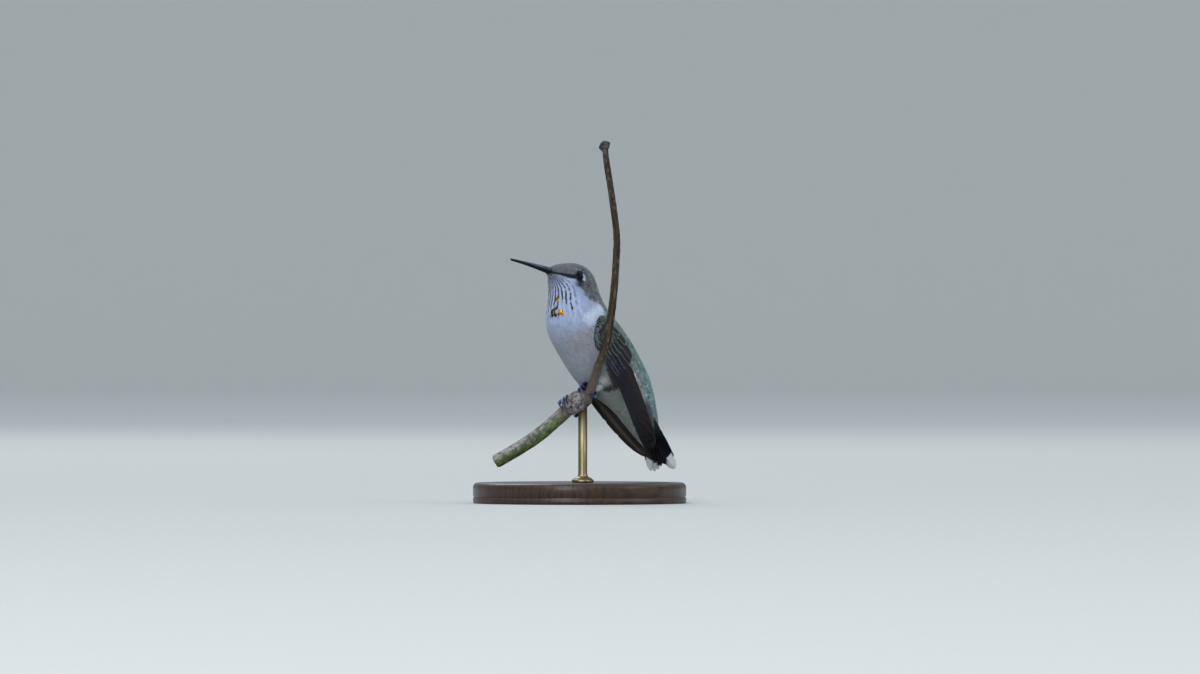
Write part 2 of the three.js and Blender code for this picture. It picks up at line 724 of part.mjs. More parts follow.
const LOOKS = {
  plumage: { color: 0xb9b7bf, roughness: 0.9 },
  flight: { color: 0x2b2830, roughness: 0.6 },
  bill: { color: 0x17171b, roughness: 0.4 },
  eye: { color: 0x0c0a0c, roughness: 0.08 },
  foot: { color: 0x1d2433, roughness: 0.5 },
  bark: { color: 0x7c6a5c, roughness: 0.85 },
  base: { color: 0x4a3527, roughness: 0.5 },
  rod: { color: 0xb08d4f, roughness: 0.3, metalness: 1 },
};

function named(name, look, made) {
  const mesh = new THREE.Mesh(geometryOf(made), new THREE.MeshStandardMaterial(LOOKS[look]));
  mesh.name = name;
  return mesh;
}

const whole = bodySolid();
const clearBody = bodySolid(GAP);
const clearPerch = joined([knotSolid(GAP), stemSolid(GAP), shootSolid(GAP)]);
const clearKnot = knotSolid(GAP);

const billSocket = mandible(1, BILL_SOCKET_SHARE, GAP).add(mandible(-1, BILL_SOCKET_SHARE, GAP));
const legSockets = [LEFT, RIGHT].flatMap((side) => [
  legSolid(side, GAP),
  ball(anklePoint(side), ANKLE_RADIUS + GAP, [1, 1, 1], 12),
]);

const bird = new THREE.Group();
bird.position.copy(BIRD_OFFSET);
bird.add(named("head", "plumage", headSolid(whole, billSocket)));
bird.add(named("neck", "plumage", bodyPiece(whole, HEAD_END, NECK_END)));
const torso = bodyPiece(whole, NECK_END, TORSO_END).subtract(joined(legSockets));
bird.add(named("torso", "plumage", largest(torso)));
bird.add(named("tail", "flight", tailSolid(whole)));
bird.add(named("bill_upper", "bill", mandible(1, 1).subtract(joined(nostrils()))));
bird.add(named("bill_lower", "bill", mandible(-1, LOWER_BILL_SHARE)));
for (const [side, suffix] of [[LEFT, "left"], [RIGHT, "right"]]) {
  bird.add(named(`eye_${suffix}`, "eye", eyeball(side)));
  bird.add(named(`wing_${suffix}`, "flight", wingSolid(side, clearBody)));
  bird.add(named(`leg_${suffix}`, "plumage", legSolid(side)));
  bird.add(named(`foot_${suffix}`, "foot", footSolid(side, clearPerch)));
}

const perch = new THREE.Group();
perch.position.copy(BIRD_OFFSET);
perch.add(named("perch_knot", "bark", knotSolid()));
perch.add(named("perch_stem", "bark", largest(stemSolid().subtract(clearKnot))));
perch.add(named("perch_shoot", "bark", largest(shootSolid().subtract(clearKnot))));

const rodFoot = new THREE.Vector3(...ROD_SHIFT, 0).add(KNOT).setZ(BASE_HEIGHT + GAP - KNOT_HEIGHT);
const rodMesh = named("stand_rod", "rod", rodSolid(rodFoot, ROD_TOP, clearKnot));
rodMesh.position.copy(BIRD_OFFSET);
const stand = new THREE.Group();
stand.add(named("stand_base", "base", baseSolid()), rodMesh);

const group = new THREE.Group();
group.add(bird, perch, stand);

export default group;
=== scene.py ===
import math

import bpy
import numpy as np
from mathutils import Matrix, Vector, kdtree, noise


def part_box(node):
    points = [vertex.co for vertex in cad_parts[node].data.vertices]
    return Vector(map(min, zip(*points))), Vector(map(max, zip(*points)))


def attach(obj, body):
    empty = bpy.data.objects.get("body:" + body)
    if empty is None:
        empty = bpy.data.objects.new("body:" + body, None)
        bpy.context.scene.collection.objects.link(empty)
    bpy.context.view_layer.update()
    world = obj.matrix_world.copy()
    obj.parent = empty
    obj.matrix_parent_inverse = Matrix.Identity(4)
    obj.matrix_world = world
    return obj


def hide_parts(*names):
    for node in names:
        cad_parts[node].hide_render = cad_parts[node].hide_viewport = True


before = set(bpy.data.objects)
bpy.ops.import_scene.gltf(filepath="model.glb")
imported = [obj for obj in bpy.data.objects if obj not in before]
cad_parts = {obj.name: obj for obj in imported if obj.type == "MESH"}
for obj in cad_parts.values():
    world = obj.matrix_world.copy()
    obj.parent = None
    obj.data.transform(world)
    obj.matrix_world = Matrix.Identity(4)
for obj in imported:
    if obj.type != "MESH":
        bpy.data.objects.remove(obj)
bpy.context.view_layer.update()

MM = 0.001
BIRD_OFFSET = np.array([-4.2, -4.6, 29.5])
LEFT, RIGHT = -1, 1
BOTH = ((LEFT, "left"), (RIGHT, "right"))
PI = math.pi

# ------------------------------------------------------------------ camera

AWAY = np.array([0.616, 0.788, 0.0])
TARGET = np.array([0.84, -8.54, 48.3])  # row frame
CAMERA_DISTANCE = 2900
camera = bpy.data.objects.new("camera", bpy.data.cameras.new("camera"))
camera.data.lens = 300
camera.data.sensor_width = 36
camera.data.clip_start = 0.1
camera.data.clip_end = 60
camera.location = Vector((TARGET - CAMERA_DISTANCE * AWAY) * MM)
camera.rotation_euler = Vector(AWAY).to_track_quat("-Z", "Y").to_euler()
bpy.context.scene.collection.objects.link(camera)
bpy.context.scene.camera = camera


# ------------------------------------------------------------------ helpers


def colour(code):
    """Linear red, green and blue of a colour that is written as six hex digits."""
    parts = np.array([int(code[i : i + 2], 16) / 255 for i in (0, 2, 4)])
    return np.where(parts <= 0.04045, parts / 12.92, ((parts + 0.055) / 1.055) ** 2.4)


def smooth(value, low, high):
    t = np.clip((value - low) / (high - low), 0, 1)
    return t * t * (3 - 2 * t)


def mix(first, second, share):
    """Between two colours or arrays of them; a colour may be given as its six hex digits."""
    first, second = (colour(shade) if isinstance(shade, str) else shade for shade in (first, second))
    share = np.asarray(share)[..., None]
    return first * (1 - share) + second * share


def unit(v):
    return v / np.maximum(np.linalg.norm(v, axis=-1, keepdims=True), 1e-12)


def outwards(place):
    """The places with y outwards, so that one table serves both sides."""
    return place * np.array([1, 0, 1]) + np.abs(place) * np.array([0, 1, 0])


def wrapped(angle):
    """The angles brought between minus and plus half a turn."""
    return (angle + PI) % (2 * PI) - PI


def circle(count, start=0):
    """Equal steps round one turn."""
    return np.linspace(start, start + 2 * PI, count, endpoint=False)


def hump(value, centre, width, power=2):
    """1 where the value is at the centre, falling to 0 over the width."""
    return np.exp(-(((value - centre) / width) ** power))


def lengths_along(line):
    """How far along a line of points each of them lies."""
    return np.concatenate([[0], np.cumsum(np.linalg.norm(np.diff(line, axis=0), axis=1))])


def tree_of(points):
    """A search tree that finds the nearest of the points."""
    tree = kdtree.KDTree(len(points))
    for i, place in enumerate(points):
        tree.insert(place, i)
    tree.balance()
    return tree


def catmull(points, place):
    """A point of the smooth line through the points, at whole numbers from 0."""
    points = np.asarray(points, float)
    padded = np.vstack([2 * points[0] - points[1], points, 2 * points[-1] - points[-2]])
    place = np.asarray(place, float)
    i = np.clip(np.floor(place).astype(int), 0, len(points) - 2)
    u = (place - i)[..., None]
    a, b, c, d = (padded[i + k] for k in range(4))
    return 0.5 * (2 * b + (c - a) * u + (2 * a - 5 * b + 4 * c - d) * u**2 + (3 * b - a - 3 * c + d) * u**3)


def stops(table, value):
    """Smoothly placed values from rows of a place and what holds there."""
    places = [row[0] for row in table]
    held = np.array([np.atleast_1d(row[1]) for row in table], float)
    found = np.stack([np.interp(value, places, held[:, k]) for k in range(held.shape[1])], -1)
    return found[..., 0] if held.shape[1] == 1 else found


def shaded(*marks):
    """Rows of a place and a colour, for stops()."""
    return [(place, colour(code)) for place, code in marks]


def mesh_piece(name, points, faces, look, colours=None, bake=None, barb=None, normals=None,
               replaces=(), offset=BIRD_OFFSET):
    """One joined mesh. faces is a list of arrays of corner numbers; uv maps are given for each point."""
    mesh = bpy.data.meshes.new(name)
    places = ((np.asarray(points) + offset) * MM).astype(np.float32)
    mesh.vertices.add(len(places))
    mesh.vertices.foreach_set("co", places.ravel())
    corners = np.concatenate([np.asarray(f).ravel() for f in faces]).astype(np.int32)
    sizes = np.concatenate([np.full(len(f), np.asarray(f).shape[1]) for f in faces])
    mesh.loops.add(len(corners))
    mesh.loops.foreach_set("vertex_index", corners)
    mesh.polygons.add(len(sizes))
    mesh.polygons.foreach_set("loop_start", np.concatenate([[0], np.cumsum(sizes)[:-1]]).astype(np.int32))
    for label, uv in (("OFBake", bake), ("Barb", barb)):
        if uv is not None:
            layer = mesh.uv_layers.new(name=label)
            spread = uv if len(uv) == len(corners) else uv[corners]
            layer.data.foreach_set("uv", spread.astype(np.float32).ravel())
    if colours is not None:
        layer = mesh.color_attributes.new(name="Col", type="FLOAT_COLOR", domain="POINT")
        full = np.ones((len(places), 4), np.float32)
        full[:, :3] = np.clip(colours, 0, 1)
        layer.data.foreach_set("color", full.ravel())
    mesh.polygons.foreach_set("use_smooth", np.ones(len(sizes), bool))
    mesh.update(calc_edges=True)
    if normals is not None:
        mesh.normals_split_custom_set_from_vertices(unit(normals).tolist())
    mesh.materials.append(look)
    obj = bpy.data.objects.new(name, mesh)
    bpy.context.scene.collection.objects.link(obj)
    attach(obj, "root")
    if replaces:
        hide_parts(*replaces)
    return obj


def grid_faces(rows, columns):
    """Corner numbers of the four-sided faces between closed rows of points."""
    row, column = np.meshgrid(np.arange(rows - 1), np.arange(columns), indexing="ij")
    here = row * columns + column
    beside = row * columns + (column + 1) % columns
    return np.stack([here, beside, beside + columns, here + columns], -1).reshape(-1, 4)


def fan(ring, centre, flip):
    """Triangles that close a ring of corner numbers round a middle point."""
    ring = np.asarray(ring)
    turned = np.roll(ring, -1)
    sides = (turned, ring) if flip else (ring, turned)
    return np.stack([*sides, np.full(len(ring), centre)], -1)


def with_middles(points, sides):
    """The points of a grid, and after them the middles of its first and last row."""
    return np.concatenate([points, [points[:sides].mean(0), points[-sides:].mean(0)]])


def with_ends(colours):
    """The colours of a grid, and after them those of its two middles."""
    return np.concatenate([colours, colours[[0, -1]]])


def end_fans(rows, sides, flip):
    """Fans that close a grid's first and last row round the two middle points that come after its points.

    Known flaw: only in lathe() do they face the same way as the sides that they close."""
    ring, size = np.arange(sides), rows * sides
    return [fan(ring, size, flip), fan(ring + size - sides, size + 1, not flip)]


# ------------------------------------------------------------------ materials


class Look:
    """A procedural material, built node by node round one Principled shader."""

    def __init__(self, name, **sockets):
        self.material = bpy.data.materials.new(name)
        self.material.use_nodes = True
        self.tree = self.material.node_tree
        self.shader = self.tree.nodes["Principled BSDF"]
        for socket, value in sockets.items():
            self.shader.inputs[socket.replace("_", " ")].default_value = value

    def node(self, kind, **settings):
        made = self.tree.nodes.new(kind)
        for key, value in settings.items():
            if key in made.inputs:
                made.inputs[key].default_value = value
            else:
                setattr(made, key, value)
        return made

    def link(self, output, target, socket=0):
        self.tree.links.new(output, target.inputs[socket])

    def coordinates(self, scale=(1, 1, 1)):
        source = self.node("ShaderNodeTexCoord")
        moved = self.node("ShaderNodeMapping", Scale=scale)
        self.link(source.outputs["Object"], moved)
        return moved.outputs[0]

    def noise(self, where, scale, detail=4, rough=0.55):
        made = self.node("ShaderNodeTexNoise", Scale=scale, Detail=detail, Roughness=rough)
        self.link(where, made, "Vector")
        return made.outputs["Fac"]

    def ramp(self, value, *marks):
        made = self.node("ShaderNodeValToRGB")
        ramp = made.color_ramp
        while len(ramp.elements) < len(marks):
            ramp.elements.new(0.5)
        for element, (place, shade) in zip(ramp.elements, marks):
            element.position = place
            element.color = (*shade, 1) if np.ndim(shade) else (shade, shade, shade, 1)
        self.link(value, made)
        return made.outputs[0]

    def multiply(self, share, first, second):
        made = self.node("ShaderNodeMix", data_type="RGBA", blend_type="MULTIPLY")
        made.inputs[0].default_value = share
        self.link(first, made, 6)
        self.link(second, made, 7)
        return made.outputs[2]

    def bump(self, height, distance, strength):
        made = self.node("ShaderNodeBump", Distance=distance, Strength=strength)
        self.link(height, made, "Height")
        self.link(made.outputs[0], self.shader, "Normal")

    def painted(self):
        return self.node("ShaderNodeAttribute", attribute_name="Col").outputs["Color"]

    def colour(self, output):
        self.link(output, self.shader, "Base Color")

    def mottle(self, value, dark, low=0.3, high=0.7):
        """The painted colour, darker where the value is low."""
        self.colour(self.multiply(1.0, self.painted(), self.ramp(value, (low, dark), (high, 1.0))))

    def tint(self, value, first, second):
        self.colour(self.ramp(value, (0.3, colour(first)), (0.7, colour(second))))

    def roughness(self, value, low, high):
        self.link(self.ramp(value, (0.3, low), (0.7, high)), self.shader, "Roughness")


def barbed(name, barbs_per_mm, depth, mottle, **sockets):
    """A feather's look: painted colour, fine slanted barbs from the Barb map, and a soft mottle."""
    look = Look(name, **sockets)
    source = look.node("ShaderNodeUVMap", uv_map="Barb")
    apart = look.node("ShaderNodeSeparateXYZ")
    look.link(source.outputs[0], apart)
    slanted = look.node("ShaderNodeMath", operation="MULTIPLY_ADD")
    look.link(apart.outputs[0], slanted, 0)
    slanted.inputs[1].default_value = -1.3
    look.link(apart.outputs[1], slanted, 2)
    waves = look.node("ShaderNodeMath", operation="MULTIPLY")
    look.link(slanted.outputs[0], waves, 0)
    waves.inputs[1].default_value = 2 * PI * barbs_per_mm
    wave = look.node("ShaderNodeMath", operation="SINE")
    look.link(waves.outputs[0], wave)
    look.bump(wave.outputs[0], depth * MM, 0.6)
    soft = look.noise(look.coordinates(), 900, 3)
    look.mottle(soft, 1 - mottle)
    look.roughness(soft, sockets["Roughness"] + 0.08, sockets["Roughness"] - 0.05)
    return look.material


soft_look = barbed("plumage_soft", 9.0, 0.01, 0.1, Roughness=0.82, Specular_IOR_Level=0.2,
                   Sheen_Weight=0.25, Sheen_Roughness=0.5)
shiny_look = barbed("plumage_iridescent", 8.0, 0.012, 0.2, Roughness=0.42, Metallic=0.35,
                    Specular_IOR_Level=0.5, Sheen_Weight=0.1)
gem_look = barbed("plumage_gorget", 8.0, 0.004, 0.1, Roughness=0.3, Metallic=0.6, Specular_IOR_Level=0.6)
vane_look = barbed("flight_vane", 6.0, 0.008, 0.12, Roughness=0.52, Specular_IOR_Level=0.22)

# ------------------------------------------------------------------ body

# Highest point and lowest point of each section in the plane of symmetry, and half its width.
STATIONS = np.array([
    [-10.6, 38.5, -10.2, 36.9, 0.9], [-9.3, 39.2, -9.6, 35.9, 2.2], [-7.2, 39.8, -9.1, 34.8, 3.7],
    [-4.5, 40.1, -8.8, 33.5, 5.0], [-1.6, 40.1, -8.7, 32.2, 5.8], [1.3, 39.3, -8.8, 30.8, 6.3],
    [3.7, 37.3, -9.1, 29.2, 6.6], [5.1, 34.6, -9.4, 27.3, 6.9], [6.0, 31.6, -9.6, 24.8, 7.7],
    [7.6, 28.4, -9.2, 21.6, 8.7], [10.2, 25.2, -7.7, 18.0, 9.5], [13.4, 22.0, -4.6, 13.4, 9.8],
    [16.8, 18.2, -1.2, 8.8, 9.6], [20.0, 14.0, 2.6, 4.6, 8.9], [22.7, 10.2, 7.2, 1.5, 7.8],
    [24.7, 6.9, 11.2, -0.8, 6.8], [26.2, 3.2, 14.8, -3.3, 5.9], [27.3, -0.6, 17.9, -6.4, 5.0],
    [28.2, -4.3, 20.7, -9.2, 4.2], [28.6, -7.8, 23.2, -11.8, 3.2], [28.2, -11.4, 25.4, -13.8, 1.8],
])
LAST = len(STATIONS) - 1
EYE = np.array([-3.3, 4.25, 36.1])  # with y outwards
EYE_RADIUS = 1.75
EYE_LOOK = unit(np.array([-0.28, 0.95, 0.1]))
LID_RADIUS = 1.3
HEAD_END = 3  # x behind which nothing belongs to an eye
FAR_FROM_EYE = 99
BORDER, SPAN = 0.02, 0.96  # of the body's unwrapping
COAT_DEPTH = [(0, 0.3), (3, 0.4), (7, 0.55), (10, 0.75), (16, 0.7), (20, 0.5)]
# Folds of the head under its coat: place with y outwards, reach and height.
FOLDS = [
    ((-3.7, 5.0, 38.2), 1.2, 0.22),  # brow
    ((-6.4, 5.0, 36.2), 1.1, -0.28),  # hollow before the eye
    ((-4.6, 6.2, 33.2), 1.5, 0.2),  # cheek
    ((-1.2, 5.9, 36.4), 1.2, -0.15),  # behind the eye
    ((-9.2, 2.6, 37.0), 0.8, -0.12),  # corner of the mouth
]


def section(t):
    row = catmull(STATIONS, t)
    back, belly = row[..., 0:2], row[..., 2:4]
    up = back - belly
    return (back + belly) / 2, unit(up), np.linalg.norm(up, axis=-1) / 2, row[..., 4]


def body(t, a):
    """A point of the plumage's outside, at a station and an angle round it from the middle of the back."""
    t, a = np.broadcast_arrays(t, a)
    centre, up, depth, half = section(t)
    rise = depth * np.cos(a)
    x, z = (centre[..., k] + up[..., k] * rise for k in (0, 1))
    return np.stack([x, half * np.sin(a), z], -1)


def frame_on(surface, t, a):
    """Place, outward normal, tailward and sideways directions, and mm per unit of t and of a."""
    step = 1e-3
    place = surface(t, a)
    tail = (surface(t + step, a) - surface(t - step, a)) / (2 * step)
    side = (surface(t, a + step) - surface(t, a - step)) / (2 * step)
    per_t, per_a = (np.maximum(np.linalg.norm(v, axis=-1), 0.2) for v in (tail, side))
    out = unit(np.cross(tail, side))
    return place, out, unit(tail), unit(side), per_t, per_a


def body_frame(t, a):
    return frame_on(body, t, a)


def eye_axes(side):
    look = EYE_LOOK * [1, side, 1]
    level = unit(np.cross([0, 0, 1.0], look)) * side
    return look, level, np.cross(look, level) * side


def fold(place):
    mirrored = outwards(place)
    height = 0
    for centre, reach, rise in FOLDS:
        away = np.linalg.norm(mirrored - np.array(centre), axis=-1)
        height = height + rise * hump(away, 0, reach)
    return height


def unwrap(t, a):
    """Place of a point of the body on its own unwrapping, cut open along the belly."""
    around = np.asarray(a) / (2 * PI) + 0.5
    return np.stack([BORDER + SPAN * (around % 1.0), BORDER + SPAN * np.asarray(t) / (LAST + 1)], -1)


# ------------------------------------------------------------------ markings

# Lines and dots of the markings and of painted shade, with y outwards.
LORE = np.array([[-10.4, 0.9, 37.5], [-8.9, 2.9, 37.1], [-7.5, 4.5, 36.6], [-5.6, 5.7, 36.3]])
SHADE_UNDER_WING = np.array([[3.9, 9.2, 13.0], [5.5, 8.3, 9.2], [8.3, 6.8, 5.0], [6.2, 5.0, 3.9]])
FLANK_TUFT = np.array([[13.9, 8.4, 8.4], [15.4, 7.6, 5.2]])
TAIL_SIDE = np.array([[21.8, 4.9, -5.6], [24.0, 3.3, -8.8], [25.8, 1.9, -11.6]])
NECK_SIDE = np.array([[2.6, 7.4, 27.8], [-2.3, 8.7, 24.6]])
EYE_SPOT = np.array([[-2.6, 6.0, 37.1], [-2.05, 6.2, 36.3], [-2.5, 6.3, 35.5]])
BROW_DOTS = ((-4.2, 4.9, 38.4), (-3.3, 5.0, 38.2), (-2.3, 5.3, 37.8))
UPPER_EDGE = [(0, 1.6), (2, 1.66), (4, 1.62), (5.3, 1.78), (6.8, 1.64), (7.9, 1.35), (8.6, 1.04), (10, 1.25),
              (12, 1.4), (13, 1.45), (14, 1.42), (16, 1.45), (18, 1.4), (20, 1.3)]
UPPER_COLOURS = shaded((0, "41444d"), (1.5, "454a55"), (4, "363f4a"), (6.5, "353f47"), (8, "33423f"),
                       (10, "344b4a"), (13, "37595d"), (16, "3b6d78"), (18, "376264"), (20, "2c4646"))
UPPER_EDGES = shaded((0, "918f95"), (4, "90939a"), (8, "989f96"), (12, "a0b3ac"), (16, "aac4c4"),
                     (20, "7f9492"))
UNDER_COLOURS = shaded((0, "666d84"), (1.2, "a3abc6"), (4, "b3bfe0"), (7, "aebbdb"), (9, "a3afca"),
                       (10.4, "9a9fae"), (12, "979da4"), (13.6, "949898"), (15, "98a19c"), (17, "949f9b"),
                       (20, "8a9591"))


def no_folds(place):
    return np.zeros(place.shape[:-1])


def near(place, centre, reach):
    """1 at a place given with y outwards, falling to 0 over its reach."""
    mirrored = outwards(place)
    return np.exp(-(np.linalg.norm((mirrored - np.array(centre)) / np.array(reach), axis=-1) ** 2))


def to_line(place, line):
    """Distance to a line through points that are given with y outwards."""
    mirrored = outwards(place)
    best = np.full(place.shape[:-1], 1e9)
    for start, end in zip(line[:-1], line[1:]):
        way = end - start
        share = np.clip(((mirrored - start) @ way) / (way @ way), 0, 1)
        best = np.minimum(best, np.linalg.norm(mirrored - start - share[..., None] * way, axis=-1))
    return best


def sight_distance(place):
    """Distance of a place from the line of sight of the eye on its side."""
    return np.linalg.norm(np.cross(outwards(place) - EYE, EYE_LOOK), axis=-1)


def markings(t, a, ragged=0.0):
    """Colours of a feather's middle and edge at a place of the body, and how far it is upper plumage."""
    place = body(t, a)
    angle = np.abs(wrapped(a))
    upper = smooth(stops(UPPER_EDGE, t) - angle + ragged, -0.09, 0.09)
    middle = mix(stops(UNDER_COLOURS, t), stops(UPPER_COLOURS, t), upper)
    edge = mix(stops(UNDER_COLOURS, t) * 1.03, stops(UPPER_EDGES, t), upper)

    def paint(share, shade, rim=None):
        nonlocal middle, edge
        middle = mix(middle, shade, share)
        edge = mix(edge, shade if rim is None else rim, share)

    def along(line, full, end):
        return 1 - smooth(to_line(place, line), full, end)

    flank = smooth(angle, 1.0, 1.5) * smooth(-angle, -2.3, -1.7)
    flank = flank * smooth(t, 10.4, 11.6) * smooth(-t, -16.5, -14)
    paint(0.55 * flank, "8a8784", "a29c98")
    # painted shade: a dark strip on the body's side under the wing's front edge, running down towards the
    # vent
    paint(0.88 * along(SHADE_UNDER_WING, 0.6, 1.8), "1f2023")
    paint(0.9 * along(FLANK_TUFT, 0.2, 0.7), "e6e9f2")
    paint(0.55 * near(place, (16.9, 6.6, 2.2), (1.6, 1.2, 2.2)), "7f716c", "a3948e")
    beside_tail = smooth(angle, 1.32, 1.45) * smooth(-angle, -2.15, -1.9) * smooth(t, 15.2, 16.2)
    paint(0.85 * beside_tail, "191b20", "31343a")
    paint(0.85 * along(TAIL_SIDE, 0.8, 1.7), "191b20", "26292e")
    band = hump(t, 10.1, 0.6) * smooth(angle, 1.45, 1.9) * smooth(-angle, -2.95, -2.4)
    paint(0.45 * band, "8d857f", "a39a93")
    paint(0.95 * along(NECK_SIDE, 0.2, 3.1) * smooth(angle, 0.98, 1.15), "dce7ff")
    paint(0.9 * near(place, (4.0, 5.6, 6.7), (1.3, 1.5, 1.2)), "f0f3f8")
    ear = near(place, (-0.4, 6.8, 31.4), (3.4, 3.0, 3.2)) * upper
    paint(0.8 * ear, "474853", "82838f")
    paint(0.9 * near(place, (-4.3, 6.2, 34.2), (1.5, 1.5, 0.95)), "2a2b36", "474a58")
    seen = place[..., 0] < HEAD_END
    paint(seen * (1 - smooth(sight_distance(place), 1.35, 2.0)), "1b1c24", "2b2c36")
    wide = 0.5 + 0.5 * smooth(place[..., 0], -9.6, -6.2)
    paint(1 - smooth(to_line(place, LORE) / wide, 0.45, 0.85), "181920", "262732")
    paint(along(EYE_SPOT, 0.3, 0.5), "d6e0fa")
    for dot in BROW_DOTS:
        paint(0.7 * near(place, dot, (0.3, 0.6, 0.22)), "c9cbd0")
    return middle, edge, upper


# ------------------------------------------------------------------ contour feathers

# share of the length, share of the width
ROUND = np.array([[0, 0.5], [0.3, 0.88], [0.55, 1.0], [0.76, 0.9], [0.91, 0.6], [1, 0.2]])
POINTED = np.array([[0, 0.5], [0.3, 0.9], [0.5, 1.0], [0.68, 0.84], [0.85, 0.52], [1, 0.12]])
PATCH = 0.003  # of the unwrap, across
NODES, STRIDE = 6, 0.25  # places worked out along a feather, and the share of its length between them


def onward(t, a, run, lie, per_t, per_a):
    """The place that lies run mm further on, turned sideways by lie."""
    return t + run * np.cos(lie) / per_t, a + run * np.sin(lie) / per_a


